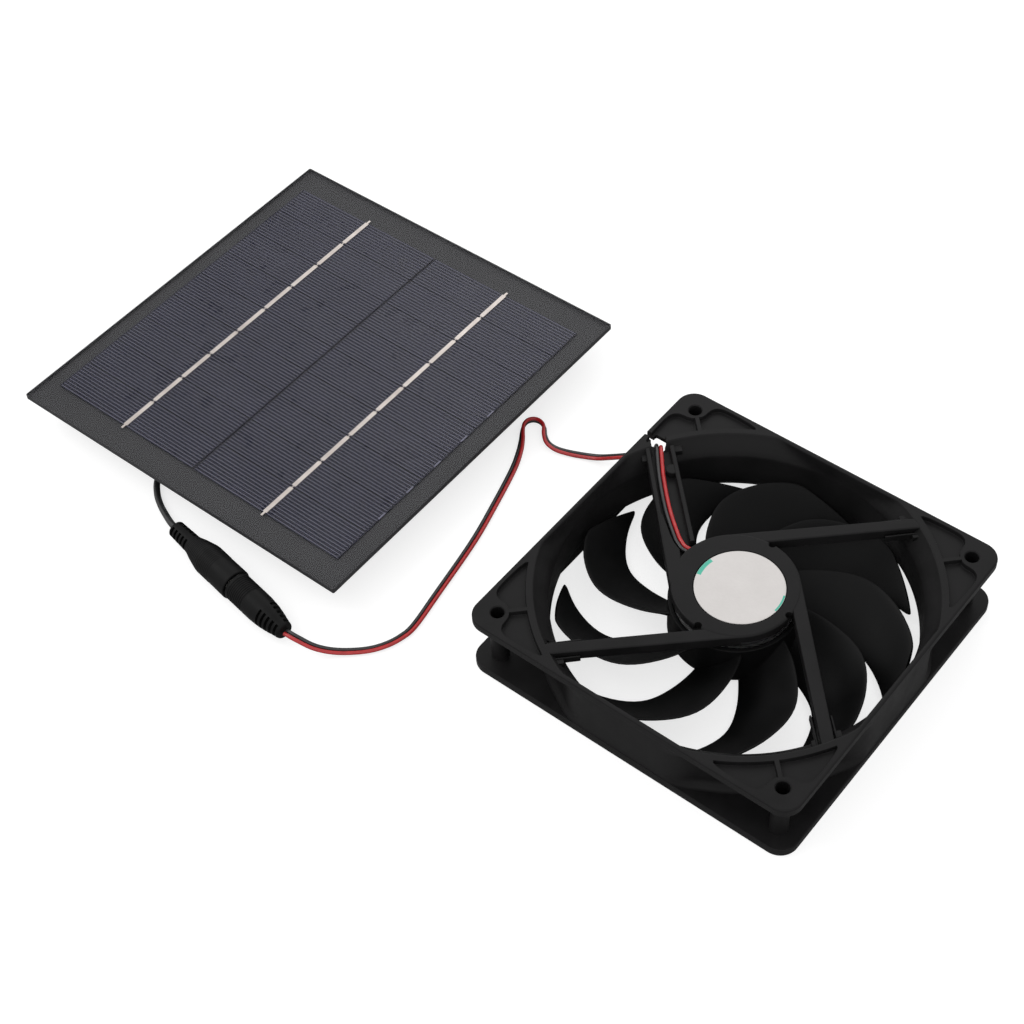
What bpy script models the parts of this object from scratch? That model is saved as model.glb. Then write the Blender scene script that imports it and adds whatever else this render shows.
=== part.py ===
"""Solar attic fan: a 120 mm axial fan, its leads with a barrel connector, and a square solar panel.

The origin is on the floor, midway between the fan's far side and the panel's. +Y runs from the fan to the
panel and +Z is up. Sizes and places below are in millimetres. Meshes are made in metres.
"""

import math

import bmesh
import bpy
from mathutils import Matrix, Vector

MM = 0.001

# ---------------------------------------------------------------- driving dimensions

FAN_CENTRE = Vector((-2.8, -95.3, 0.0))
PANEL_CENTRE = Vector((0.0, 82.8, 0.0))
GAP = 0.3

# Fan frame
FAN_HALF = 60.0
FAN_DEPTH = 25.0
CORNER_RADIUS = 6.3
FLANGE = 3.2
DUCT_OUTER = 60.2
COLLAR_OUTER = 62.3
COLLAR_DEPTH = 4.0
THROAT = 58.0
MOUTH = 62.5
MOUTH_CLIP = 58.3
MOUTH_DEPTH = 7.0
HOLE_PLACE = 52.5
HOLE_RADIUS = 2.2
POST_RADIUS = 3.3
POCKET_DEPTH = 1.6
POCKET_RIM = 58.2
POCKET_LIP = 65.4
POCKET_INNER = 48.3
DUCT_SEGMENTS = 64

# Spokes and motor base
# A plain spoke's two edges, each from its inner end to its outer end as (along, across)
SPOKE_NEAR = ((2.0, 15.6), (60.0, 13.9))
SPOKE_FAR = ((2.0, 20.0), (60.0, 18.0))
SPOKE_BOTTOM = 20.8
SPOKE_TOP = 24.6
SPOKE_REACH = (61.4, 63.2)
SPOKE_FOOT = (57.0, 16.1)
BASE_RADIUS = 20.3
BASE_BOTTOM = 21.8
CHANNEL_RAIL = 9.5
RAIL_START = 19.2
TUNNEL_TOP = 24.4
CHANNEL_EDGE = 19.0
CHANNEL_REACH = 60.0
CHANNEL_WALL = 1.5
CHANNEL_FLOOR = 1.4
LABEL_RADIUS = 14.25
LABEL_CENTRE = (-0.1, -1.6)
LABEL_THICKNESS = 0.3
BEARING_TUBE = (4.1, 5.2)
BEARING_TUBE_END = 8.4

# Rotor
SHAFT_RADIUS = 1.5
HUB_RADIUS = 21.0
HUB_WALL = 1.5
HUB_BOTTOM = 2.0
HUB_TOP = 18.2
BLADES = 9
# Each blade edge as (radius, angle in degrees, height)
LEADING_EDGE = (
    (20.2, 99.5, 2.4),
    (31.0, 96.5, 2.4),
    (40.5, 91.0, 2.4),
    (49.5, 79.5, 2.8),
    (56.2, 70.5, 4.4),
)
TRAILING_EDGE = (
    (20.2, 141.0, 16.5),
    (31.0, 131.0, 15.7),
    (42.4, 120.0, 15.2),
    (50.0, 107.0, 14.6),
    (56.2, 93.0, 13.2),
)
BLADE_THICKNESS = 1.3

# Motor
STATOR_RADIUS = 15.2
STATOR_BOTTOM = 9.0
STATOR_TOP = 15.0
BOARD_BOTTOM = 19.3

# Solar panel
PANEL_WIDTH = 148.0
PANEL_LENGTH = 145.0
CELL_COLUMNS = 9
CELL_CENTRE = (0.2, 0.8)
CELL_PITCH = 14.15
CELL_SLIT = 0.5
CELL_LENGTH = 64.9
CELL_ROW_OFFSET = 32.95
BUSBAR_OFFSET = 33.0
BUSBAR_WIDTH = 1.7
BACKSHEET = (12.4, 13.4)
CELLS = (13.65, 13.9)
BUSBARS = (14.1, 14.25)
FILM = (14.5, 15.0)

# Junction box under the panel
BOX_HALF = (28.0, 18.0)
BOX_OFFSET = 10.0
BOX_WALL = 2.0
BOX_LID = (0.0, 2.0)
BOX_SHELL = (2.3, 11.3)
BOX_ADHESIVE = (11.6, 12.1)
RELIEF_HEIGHT = 6.0

# Barrel connector: its axis runs from the panel lead's end to the fan leads' end
CONNECTOR_START = Vector((-81.6, 75.7, 5.7))
CONNECTOR_END = Vector((-91.2, 16.9, 5.7))
SOCKET_LENGTH = 33.6
CONNECTOR_LENGTH = (CONNECTOR_END - CONNECTOR_START).length

# Leads
FAN_LEAD_RADIUS = 0.65
FAN_LEAD_SPACING = 0.72
PANEL_LEAD_RADIUS = 1.15
FAN_LEAD_POINTS = 78
PANEL_LEAD_POINTS = 22

# The middle line between the two fan leads, from the motor to the plug: x, y and z, then in degrees the
# azimuth of the direction from the red lead to the black one, and how far that direction dips
FAN_LEAD_ROUTE = (
    (1.1, -77.8, 23.3, 193, 0),
    (0.5, -73.7, 23.35, 172, 0),
    (1.4, -71.2, 23.4, 155, 0),
    (3.0, -68.6, 23.5, 144, 0),
    (10.4, -59.9, 23.2, 135, 0),
    (19.7, -50.8, 23.3, 135, 0),
    (27.9, -43.9, 23.6, 132, 0),
    (30.4, -41.9, 23.1, 122, 0),
    (32.1, -40.5, 21.2, 95, 0),
    (32.7, -39.2, 18.4, 65, 0),
    (32.6, -37.5, 15.8, 38, 0),
    (32.0, -34.7, 13.4, 15, 0),
    (30.8, -26.1, 7.8, 0, 0),
    (30.5, -21.5, 4.6, 0, 0),
    (29.8, -16.9, 2.0, 0, 0),
    (28.2, -11.9, 0.98, -10, 3),
    (26.2, -7.0, 0.98, -15, 8),
    (25.0, -2.4, 1.03, -10, 18),
    (25.4, 1.6, 1.23, -22, 38),
    (27.6, 4.7, 1.48, -33, 62),
    (30.3, 7.0, 1.6, -36, 78),
    (31.4, 9.5, 1.62, -8, 80),
    (30.9, 11.9, 1.62, 28, 80),
    (29.1, 13.3, 1.62, 64, 80),
    (26.8, 13.2, 1.62, 96, 80),
    (24.2, 11.8, 1.58, 116, 68),
    (20.8, 9.4, 1.4, 119, 46),
    (16.0, 6.7, 1.16, 114, 24),
    (8.5, 3.6, 0.96, 110, 13),
    (-6.5, -0.9, 0.95, 106, 12),
    (-24.0, -5.5, 0.95, 104, 12),
    (-48.0, -9.9, 0.95, 100, 12),
    (-62.0, -12.3, 0.95, 88, 12),
    (-68.0, -11.9, 0.95, 78, 12),
    (-73.6, -9.9, 0.95, 64, 12),
    (-79.0, -6.1, 0.98, 50, 10),
    (-84.9, 0.3, 1.58, 42, 6),
    (-89.0, 5.9, 3.6, 31, 3),
    (-90.85, 11.8, 5.45, 16, 0),
    (-91.26, 16.55, 5.7, 9.3, 0),
)

# The panel lead, from the junction box to the socket
PANEL_LEAD_ROUTE = (
    (-40.6, 92.8, 6.0),
    (-46.0, 93.2, 5.5),
    (-52.0, 95.2, 3.3),
    (-58.0, 98.2, 1.7),
    (-63.0, 100.0, 1.25),
    (-67.6, 99.4, 1.25),
    (-72.2, 95.0, 1.4),
    (-75.7, 89.6, 2.2),
    (-79.0, 82.7, 3.9),
    (-80.7, 78.7, 5.2),
    (-81.54, 76.07, 5.7),
)


# ---------------------------------------------------------------- scene, materials and mesh helpers


def clear_scene():
    for obj in list(bpy.data.objects):
        bpy.data.objects.remove(obj, do_unlink=True)


def material(name, colour, roughness, metallic=0.0):
    made = bpy.data.materials.new(name)
    made.use_nodes = True
    shader = made.node_tree.nodes["Principled BSDF"]
    shader.inputs["Base Color"].default_value = (*colour, 1.0)
    shader.inputs["Roughness"].default_value = roughness
    shader.inputs["Metallic"].default_value = metallic
    return made


def empty(name, place, axis=None):
    """A parent for pieces that share a frame. With an axis, its local +Z points along it."""
    made = bpy.data.objects.new(name, None)
    bpy.context.scene.collection.objects.link(made)
    turn = Vector((0, 0, 1)).rotation_difference(axis).to_matrix().to_4x4() if axis else Matrix()
    made.matrix_world = Matrix.Translation(place * MM) @ turn
    return made


def finish_mesh(name, bm, parent, look=None, smooth=35):
    """Turns bm, in millimetres, into an object in metres with its faces pointing out."""
    bmesh.ops.scale(bm, vec=(MM, MM, MM), verts=bm.verts)
    bmesh.ops.recalc_face_normals(bm, faces=bm.faces)
    mesh = bpy.data.meshes.new(name)
    bm.to_mesh(mesh)
    bm.free()
    if look:
        mesh.materials.append(look)
    if smooth:
        mesh.shade_smooth()
        mesh.set_sharp_from_angle(angle=math.radians(smooth))
    obj = bpy.data.objects.new(name, mesh)
    bpy.context.scene.collection.objects.link(obj)
    obj.parent = parent
    return obj


def helper(obj):
    """Marks a cutter or a shape to be joined, which isn't a piece of its own."""
    obj.hide_render = True
    obj.display_type = "WIRE"
    return obj


def boolean(target, other, operation):
    modifier = target.modifiers.new(other.name, "BOOLEAN")
    modifier.operation = operation
    modifier.object = helper(other)
    modifier.solver = "EXACT"


def circle(radius, count, centre=(0.0, 0.0), start=0.0):
    steps = [start + 2 * math.pi * i / count for i in range(count)]
    return [(centre[0] + radius * math.cos(a), centre[1] + radius * math.sin(a)) for a in steps]


def rectangle(half_x, half_y, centre=(0.0, 0.0)):
    signs = ((-1, -1), (1, -1), (1, 1), (-1, 1))
    return [(centre[0] + x * half_x, centre[1] + y * half_y) for x, y in signs]


def rounded_rectangle(half_x, half_y, radius, steps=5, centre=(0.0, 0.0)):
    outline = []
    for quarter, (x, y) in enumerate(((1, 1), (-1, 1), (-1, -1), (1, -1))):
        middle = (centre[0] + x * (half_x - radius), centre[1] + y * (half_y - radius))
        for i in range(steps + 1):
            a = math.pi / 2 * (quarter + i / steps)
            outline.append((middle[0] + radius * math.cos(a), middle[1] + radius * math.sin(a)))
    return outline


def clipped_circle(radius, clip, count):
    """A circle with its sides cut flat where it would pass a square of half width clip."""
    outline = []
    for i in range(count):
        a = 2 * math.pi * i / count
        r = min(radius, clip / max(abs(math.cos(a)), abs(math.sin(a))))
        outline.append((r * math.cos(a), r * math.sin(a)))
    return outline


def turned_outline(outline, degrees):
    c = math.cos(math.radians(degrees))
    s = math.sin(math.radians(degrees))
    return [(c * x - s * y, s * x + c * y) for x, y in outline]


def add_loft(bm, rings, closed=False):
    """Skins rings of equal point count. Open lofts get end caps, closed ones join last to first."""
    loops = [[bm.verts.new(p) for p in ring] for ring in rings]
    pairs = list(zip(loops, loops[1:]))
    if closed:
        pairs.append((loops[-1], loops[0]))
    for low, high in pairs:
        for i in range(len(low)):
            j = (i + 1) % len(low)
            bm.faces.new((low[i], low[j], high[j], high[i]))
    if not closed:
        bm.faces.new(loops[0][::-1])
        bm.faces.new(loops[-1])


def add_prism(bm, outline, bottom, top):
    add_loft(bm, [[(x, y, z) for x, y in outline] for z in (bottom, top)])


def add_tube(bm, outer, inner, bottom, top):
    """A prism with a hole: both outlines have the same number of points."""
    rings = ((outer, bottom), (outer, top), (inner, top), (inner, bottom))
    add_loft(bm, [[(x, y, z) for x, y in outline] for outline, z in rings], closed=True)


def add_turned(bm, profile, segments, closed=False, centre=(0.0, 0.0)):
    """Turns (radius, height) points about Z. A point on the axis becomes a pole, and closed makes a ring."""
    rows = []
    for radius, height in profile:
        if radius == 0:
            rows.append([bm.verts.new((*centre, height))])
        else:
            rows.append([bm.verts.new((x, y, height)) for x, y in circle(radius, segments, centre)])
    pairs = list(zip(rows, rows[1:]))
    if closed:
        pairs.append((rows[-1], rows[0]))
    for low, high in pairs:
        for i in range(segments):
            j = (i + 1) % segments
            corners = [low[i % len(low)], low[j % len(low)], high[j % len(high)], high[i % len(high)]]
            face = list(dict.fromkeys(corners))
            if len(face) > 2:
                bm.faces.new(face)


def prisms(name, parts, parent, look=None, smooth=0):
    bm = bmesh.new()
    for outline, bottom, top in parts:
        add_prism(bm, outline, bottom, top)
    return finish_mesh(name, bm, parent, look, smooth)


def turned(name, profile, segments, parent, look=None, closed=False):
    bm = bmesh.new()
    add_turned(bm, profile, segments, closed)
    return finish_mesh(name, bm, parent, look)


def ring(name, inner, outer, bottom, top, segments, parent, look=None):
    profile = ((inner, bottom), (outer, bottom), (outer, top), (inner, top))
    return turned(name, profile, segments, parent, look, closed=True)


def catmull(points, fraction):
    """A point of the smooth curve through points, with fraction running from 0 to 1 over them."""
    place = fraction * (len(points) - 1)
    i = min(int(place), len(points) - 2)
    t = place - i
    p1, p2 = points[i], points[i + 1]
    p0 = points[i - 1] if i else [2 * a - b for a, b in zip(p1, p2)]
    p3 = points[i + 2] if i + 2 < len(points) else [2 * b - a for a, b in zip(p1, p2)]
    out = []
    for a, b, c, d in zip(p0, p1, p2, p3):
        square = 2 * a - 5 * b + 4 * c - d
        cube = 3 * b - a - 3 * c + d
        out.append(0.5 * (2 * b + (c - a) * t + square * t**2 + cube * t**3))
    return out


def evenly(curve, count):
    """Picks count points at equal distances along curve, a list of fine points with x, y and z first."""
    lengths = [0.0]
    for a, b in zip(curve, curve[1:]):
        lengths.append(lengths[-1] + math.dist(a[:3], b[:3]))
    picked = []
    at = 0
    for i in range(count):
        goal = lengths[-1] * i / (count - 1)
        while at < len(curve) - 2 and lengths[at + 1] < goal:
            at += 1
        share = (goal - lengths[at]) / (lengths[at + 1] - lengths[at])
        picked.append([a + (b - a) * share for a, b in zip(curve[at], curve[at + 1])])
    return picked


def tube(name, points, radius, look):
    """A cord: a round tube along points, closed at both ends."""
    curve = bpy.data.curves.new(name, "CURVE")
    curve.dimensions = "3D"
    curve.bevel_depth = radius * MM
    curve.bevel_resolution = 2
    curve.use_fill_caps = True
    curve.materials.append(look)
    spline = curve.splines.new("POLY")
    spline.points.add(len(points) - 1)
    for target, point in zip(spline.points, points):
        target.co = (*[value * MM for value in point[:3]], 1.0)
        target.radius = 1.0
    obj = bpy.data.objects.new(name, curve)
    bpy.context.scene.collection.objects.link(obj)
    return obj


# ---------------------------------------------------------------- fan frame


def spoke_frame(outline, quarter):
    """Takes (along, across) points of a spoke that runs tangent to the motor base to fan coordinates.

    A spoke runs towards 45 degrees less a quarter turn for each quarter. Across is its distance from
    the fan's axis.
    """
    placed = [(along, across) for along, across in outline]
    return turned_outline(placed, 45 - 90 * quarter)


def plain_spoke(reach):
    """A spoke's outline from beside the motor base to a distance of reach from the fan's axis."""
    outline = []
    for (start, across), (end, outer) in (SPOKE_NEAR, SPOKE_FAR):
        along = math.sqrt(reach**2 - outer**2)
        slope = (outer - across) / (end - start)
        outline.append(((start, across), (along, across + slope * (along - start))))
    (near_in, near_out), (far_in, far_out) = outline
    return [near_in, near_out, far_out, far_in]


def corner_pockets():
    """Two shallow pockets in each corner of the exhaust flange, parted by a thin diagonal rib."""
    first = math.degrees(math.asin(POCKET_RIM / POCKET_LIP))
    last = 46.6
    arc = []
    for i in range(7):
        a = math.radians(first + (last - first) * i / 6)
        arc.append((POCKET_LIP * math.cos(a), POCKET_LIP * math.sin(a)))
    one = [(POCKET_INNER, POCKET_RIM)] + arc + [(POCKET_INNER, POCKET_INNER + 1.6)]
    other = [(y, x) for x, y in reversed(one)]
    found = []
    for quarter in range(4):
        for outline in (one, other):
            found.append((turned_outline(outline, 90 * quarter), FAN_DEPTH - POCKET_DEPTH, FAN_DEPTH + 1))
    return found


def make_frame(parent, look):
    block = rounded_rectangle(FAN_HALF, FAN_HALF, CORNER_RADIUS)
    frame = prisms("frame_housing", [(block, 0, FAN_DEPTH)], parent, look, 35)

    # The duct's wall widens to a collar under each flange, where its mouth is wider too
    outside = clipped_circle(1000, FAN_HALF + 3, DUCT_SEGMENTS)
    collar = circle(COLLAR_OUTER, DUCT_SEGMENTS)
    wall = circle(DUCT_OUTER, DUCT_SEGMENTS)
    top = FAN_DEPTH - FLANGE
    space = ((outside, FLANGE), (outside, top), (collar, top), (wall, top - COLLAR_DEPTH))
    space += ((wall, FLANGE + COLLAR_DEPTH), (collar, FLANGE))
    bm = bmesh.new()
    add_loft(bm, [[(x, y, z) for x, y in outline] for outline, z in space], closed=True)
    boolean(frame, finish_mesh("space_between_flanges", bm, parent), "DIFFERENCE")

    corners = [(x * HOLE_PLACE, y * HOLE_PLACE) for x in (-1, 1) for y in (-1, 1)]
    posts = [(circle(POST_RADIUS, 16, c), FLANGE - 1, FAN_DEPTH - FLANGE + 1) for c in corners]
    boolean(frame, prisms("screw_posts", posts, parent), "UNION")

    levels = (
        (-1, MOUTH),
        (0.6, MOUTH),
        (MOUTH_DEPTH, THROAT),
        (FAN_DEPTH - MOUTH_DEPTH, THROAT),
        (FAN_DEPTH - 0.6, MOUTH),
        (FAN_DEPTH + 1, MOUTH),
    )
    bm = bmesh.new()
    add_loft(bm, [[(x, y, z) for x, y in clipped_circle(r, MOUTH_CLIP, DUCT_SEGMENTS)] for z, r in levels])
    boolean(frame, finish_mesh("air_duct", bm, parent), "DIFFERENCE")

    holes = [(circle(HOLE_RADIUS, 16, c), -1, FAN_DEPTH + 1) for c in corners]
    boolean(frame, prisms("screw_holes", holes, parent), "DIFFERENCE")
    boolean(frame, prisms("corner_pockets", corner_pockets(), parent), "DIFFERENCE")

    base = (
        (BEARING_TUBE[0], FAN_DEPTH),
        (BASE_RADIUS - 0.5, FAN_DEPTH),
        (BASE_RADIUS, FAN_DEPTH - 0.5),
        (BASE_RADIUS, BASE_BOTTOM),
        (BEARING_TUBE[1], BASE_BOTTOM),
        (BEARING_TUBE[1], BEARING_TUBE_END),
        (BEARING_TUBE[0], BEARING_TUBE_END),
    )
    boolean(frame, turned("motor_base", base, 48, parent, closed=True), "UNION")
    recess = [(circle(LABEL_RADIUS + 0.3, 48, LABEL_CENTRE), FAN_DEPTH - 0.65, FAN_DEPTH + 1)]
    boolean(frame, prisms("label_recess", recess, parent), "DIFFERENCE")

    bm = bmesh.new()
    lip = FAN_DEPTH - FLANGE
    low, high = SPOKE_REACH
    reaches = ((SPOKE_BOTTOM, low), (lip, low), (lip + 0.6, high), (SPOKE_TOP, high))
    for q in (1, 2, 3):
        add_loft(bm, [[(x, y, z) for x, y in spoke_frame(plain_spoke(reach), q)] for z, reach in reaches])
    boolean(frame, finish_mesh("plain_spokes", bm, parent, smooth=0), "UNION")
    foot = rectangle(1.6, 4.8, SPOKE_FOOT)
    feet = [(spoke_frame(foot, q), SPOKE_BOTTOM + 0.3, SPOKE_TOP - 0.9) for q in (1, 2, 3)]
    channel_foot = rectangle(1.6, 7.2, (SPOKE_FOOT[0], 14.1))
    feet.append((spoke_frame(channel_foot, 0), SPOKE_BOTTOM + 0.2, SPOKE_BOTTOM + CHANNEL_FLOOR - 0.2))
    boolean(frame, prisms("spoke_feet", feet, parent), "UNION")

    # The wire channel is a U-shaped spoke: floor, outer wall and inner rail
    low = SPOKE_BOTTOM
    edge = CHANNEL_EDGE
    rail = CHANNEL_RAIL
    section = [(rail, low), (edge, low), (edge, SPOKE_TOP), (edge - CHANNEL_WALL, SPOKE_TOP)]
    section += [(edge - CHANNEL_WALL, low + CHANNEL_FLOOR), (rail + CHANNEL_WALL, low + CHANNEL_FLOOR)]
    section += [(rail + CHANNEL_WALL, SPOKE_TOP), (rail, SPOKE_TOP)]
    rings = []
    for along in (5.5, CHANNEL_REACH):
        placed = spoke_frame([(along, across) for across, _ in section], 0)
        rings.append([(x, y, z) for (x, y), (_, z) in zip(placed, section)])
    bm = bmesh.new()
    add_loft(bm, rings)
    channel = finish_mesh("wire_channel", bm, parent, smooth=0)
    gap = [(4.0, rail - 0.5), (RAIL_START, rail - 0.5), (RAIL_START, 11.4), (4.0, 11.4)]
    gap_part = [(spoke_frame(gap, 0), low + CHANNEL_FLOOR, FAN_DEPTH + 1)]
    boolean(channel, prisms("rail_gap", gap_part, parent), "DIFFERENCE")
    boolean(frame, channel, "UNION")
    tab = [(45.2, 10.2), (47.4, 12.9), (50.4, 13.1), (51.8, 10.2)]
    boolean(frame, prisms("wire_tab", [(spoke_frame(tab, 0), low + 0.7, SPOKE_TOP - 0.3)], parent), "UNION")

    # The leads leave the motor base through a low tunnel in its side, which turns round the rail's end.
    # They cross the duct's lip and drop between the flanges.
    tunnel = [(13.1, 10.2), (16.6, 8.2), (17.7, 10.1), (18.8, 11.3), (20.7, 12.2), (19.3, 16.0), (16.4, 14.5)]
    tunnel.append((14.5, 12.5))
    passage = [(52.0, 12.4), (63.4, 12.4), (63.4, 16.8), (52.0, 16.8)]
    wire_cuts = [
        (spoke_frame(tunnel, 0), low + CHANNEL_FLOOR, TUNNEL_TOP),
        (spoke_frame(passage, 0), low + CHANNEL_FLOOR, FAN_DEPTH + 1),
    ]
    boolean(frame, prisms("wire_notches", wire_cuts, parent), "DIFFERENCE")
    drop = rectangle(2.1, 2.7, (35.0, 54.6))
    boolean(frame, prisms("wire_drop", [(drop, FAN_DEPTH - FLANGE - 1, FAN_DEPTH + 1)], parent), "DIFFERENCE")
    slit = rectangle(0.8, 3.0, (34.9, 59.0))
    boolean(frame, prisms("wire_slit", [(slit, FAN_DEPTH - FLANGE - 1, FAN_DEPTH + 1)], parent), "DIFFERENCE")
    return frame


def make_bearing(parent, looks):
    ring("bearing_sleeve", SHAFT_RADIUS + 0.1, 3.8, 8.6, 21.3, 16, parent, looks["bronze"])
    turned("bearing_plug", ((0, 22.7), (3.7, 22.7), (3.7, 24.0), (0, 24.0)), 16, parent, looks["rubber"])
    label_top = FAN_DEPTH - 0.05
    profile = ((0, label_top - LABEL_THICKNESS), (LABEL_RADIUS, label_top - LABEL_THICKNESS))
    profile += ((LABEL_RADIUS, label_top), (0, label_top))
    bm = bmesh.new()
    add_turned(bm, profile, 48, centre=LABEL_CENTRE)
    finish_mesh("motor_label", bm, parent, looks["label"])


def star_outline(radius, arm):
    """The outline of a four-pole lamination: straight arms that end in wide curved shoes."""
    face = [(radius, degrees) for degrees in range(-36, 37, 12)]
    shoe = [(radius - 1.4, -36)] + face + [(radius - 1.4, 36)]
    pole = [(7.0, -arm), (radius - 1.7, -arm)]
    pole += [(r * math.cos(math.radians(a)), r * math.sin(math.radians(a))) for r, a in shoe]
    pole += [(radius - 1.7, arm), (7.0, arm)]
    outline = []
    for quarter in range(4):
        outline += turned_outline(pole, 90 * quarter)
    return outline


def make_stator(parent, looks):
    bore = BEARING_TUBE[1] + GAP
    for name, look, levels, radius in (
        ("stator_core", "steel", (STATOR_BOTTOM, STATOR_TOP), STATOR_RADIUS),
        ("stator_insulator_lower", "insulator", (8.1, 8.7), STATOR_RADIUS - 0.4),
        ("stator_insulator_upper", "insulator", (15.3, 15.9), STATOR_RADIUS - 0.4),
    ):
        star = prisms(name, [(star_outline(radius, 2.5), *levels)], parent, looks[look])
        boolean(star, prisms(name + "_bore", [(circle(bore, 16), 7, 17)], parent), "DIFFERENCE")

    for pole in range(4):
        outer = rounded_rectangle(4.9, 5.9, 1.6, 2)
        inner = rounded_rectangle(3.0, 4.2, 0.5, 2)
        rings = []
        for outline, along in ((outer, 8.2), (outer, 11.4), (inner, 11.4), (inner, 8.2)):
            points = []
            for across, up in outline:
                x, y = turned_outline([(along, across)], 90 * pole)[0]
                points.append((x, y, (STATOR_BOTTOM + STATOR_TOP) / 2 + up))
            rings.append(points)
        bm = bmesh.new()
        add_loft(bm, rings, closed=True)
        finish_mesh(f"stator_coil_{pole + 1}", bm, parent, looks["copper"])


def make_driver(parent, looks):
    bore = BEARING_TUBE[1] + GAP + 0.2
    ring("driver_board", bore, STATOR_RADIUS, BOARD_BOTTOM, BOARD_BOTTOM + 1, 32, parent, looks["board"])
    top = BOARD_BOTTOM - GAP
    for name, outline, height in (
        ("driver_chip", rectangle(2.1, 1.6, (0, -11.5)), 0.7),
        ("driver_capacitor", rectangle(1.0, 0.6, (7.5, -8.5)), 0.6),
        ("hall_sensor", rectangle(2.0, 1.4, (10.6, 2.0)), 0.6),
    ):
        prisms(name, [(outline, top - height, top)], parent, looks["component"])


# ---------------------------------------------------------------- rotor


def blade_point(along, chord):
    """The middle surface of a blade: along runs from root to tip, chord from leading to trailing edge."""
    lead = catmull(LEADING_EDGE, along)
    trail = catmull(TRAILING_EDGE, along)
    radius = lead[0] + (trail[0] - lead[0]) * chord
    angle = math.radians(lead[1] + (trail[1] - lead[1]) * chord)
    rise = 0.78 * chord + 0.22 * chord**2
    height = lead[2] + (trail[2] - lead[2]) * rise
    return Vector((radius * math.cos(angle), radius * math.sin(angle), height))


def blade_normal(along, chord):
    step = 0.01
    a0, a1 = max(0, along - step), min(1, along + step)
    c0, c1 = max(0, chord - step), min(1, chord + step)
    spanwise = blade_point(a1, chord) - blade_point(a0, chord)
    chordwise = blade_point(along, c1) - blade_point(along, c0)
    return spanwise.cross(chordwise).normalized()


def blade_rings(spans, chords):
    """Closed sections of a blade at equal steps from root to tip, thin at both edges."""
    rings = []
    for i in range(spans + 1):
        along = i / spans
        upper, lower = [], []
        for j in range(chords + 1):
            chord = j / chords
            thick = BLADE_THICKNESS * (0.5 + 0.5 * math.sin(math.pi * chord) ** 0.6)
            offset = blade_normal(along, chord) * thick / 2
            upper.append(blade_point(along, chord) + offset)
            lower.append(blade_point(along, chord) - offset)
        rings.append(upper + lower[::-1])
    return rings


def make_impeller(parent, look):
    inner = HUB_RADIUS - HUB_WALL
    boss = 3.4
    bore = SHAFT_RADIUS + GAP
    profile = (
        (0, HUB_BOTTOM),
        (HUB_RADIUS - 1.6, HUB_BOTTOM),
        (HUB_RADIUS - 0.5, HUB_BOTTOM + 0.5),
        (HUB_RADIUS, HUB_BOTTOM + 1.6),
        (HUB_RADIUS, HUB_TOP),
        (inner, HUB_TOP),
        (inner, HUB_BOTTOM + 2),
        (boss, HUB_BOTTOM + 2),
        (boss, 7.0),
        (bore, 7.0),
        (bore, HUB_BOTTOM + 1.2),
        (0, HUB_BOTTOM + 1.2),
    )
    impeller = turned("impeller", profile, 48, parent, look)
    bm = bmesh.new()
    for blade in range(BLADES):
        turn = Matrix.Rotation(2 * math.pi * blade / BLADES, 3, "Z")
        add_loft(bm, [[turn @ p for p in ring_points] for ring_points in blade_rings(6, 5)])
    boolean(impeller, finish_mesh("blades", bm, parent), "UNION")
    return impeller


def make_rotor(parent, looks):
    make_impeller(parent, looks["blade_plastic"])
    inner = HUB_RADIUS - HUB_WALL
    ring("rotor_yoke", inner - 1.3, inner - GAP, 4.4, HUB_TOP - 0.4, 32, parent, looks["steel"])
    ring("magnet_ring", 15.9, inner - 1.6, 6.0, HUB_TOP - 1.0, 32, parent, looks["magnet"])
    groove = 1.1
    shaft = ((0, 3.5), (SHAFT_RADIUS, 3.5), (SHAFT_RADIUS, 21.6), (groove, 21.6), (groove, 22.1))
    shaft += ((SHAFT_RADIUS, 22.1), (SHAFT_RADIUS, 22.2), (1.2, 22.4), (0, 22.4))
    turned("rotor_shaft", shaft, 16, parent, looks["bright_steel"])
    ring("retaining_clip", 1.3, 2.8, 21.7, 22.0, 16, parent, looks["insulator"])
    ring("thrust_washer", 1.8, 3.2, 7.4, 8.2, 16, parent, looks["insulator"])


# ---------------------------------------------------------------- connector


def ribbed(start, end, r0, r1, count, depth):
    """Profile points of a tapering relief with count grooves, each a quarter of its pitch wide."""
    points = []
    pitch = (end - start) / count
    for i in range(count):
        for share, cut in ((0.0, 0.0), (0.62, 0.0), (0.68, depth), (0.94, depth)):
            z = start + pitch * (i + share)
            r = r0 + (r1 - r0) * (z - start) / (end - start)
            points.append((r - cut, z))
    points.append((r1, end))
    return points


def make_socket(parent, looks):
    """The panel's half: a moulded body around a sleeve contact and centre pin, from its tail to the seam."""
    mouth = SOCKET_LENGTH
    body = [(0, 0.0), (2.3, 0.0)] + ribbed(0.3, 9.0, 3.0, 3.7, 4, 0.6)
    body += [(4.6, 13.5), (5.5, 18.0), (5.5, mouth - 0.5), (5.2, mouth)]
    body += [(4.3, mouth), (4.3, mouth - 14.0), (0, mouth - 14.0)]
    turned("socket_body", body, 18, parent, looks["connector"])
    low = mouth - 13.7
    cup = ((0, low), (4.0, low), (4.0, mouth - 0.6), (3.65, mouth - 0.6), (3.65, low + 1.2), (0, low + 1.2))
    turned("socket_insulator", cup, 16, parent, looks["insulator"])
    ring("socket_contact_sleeve", 3.02, 3.35, low + 1.5, mouth - 1.4, 16, parent, looks["nickel"])
    pin = ((0, low + 1.5), (1.0, low + 1.5), (1.0, mouth - 2.6), (0.6, mouth - 2.0), (0, mouth - 2.0))
    turned("socket_centre_pin", pin, 12, parent, looks["nickel"])


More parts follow.
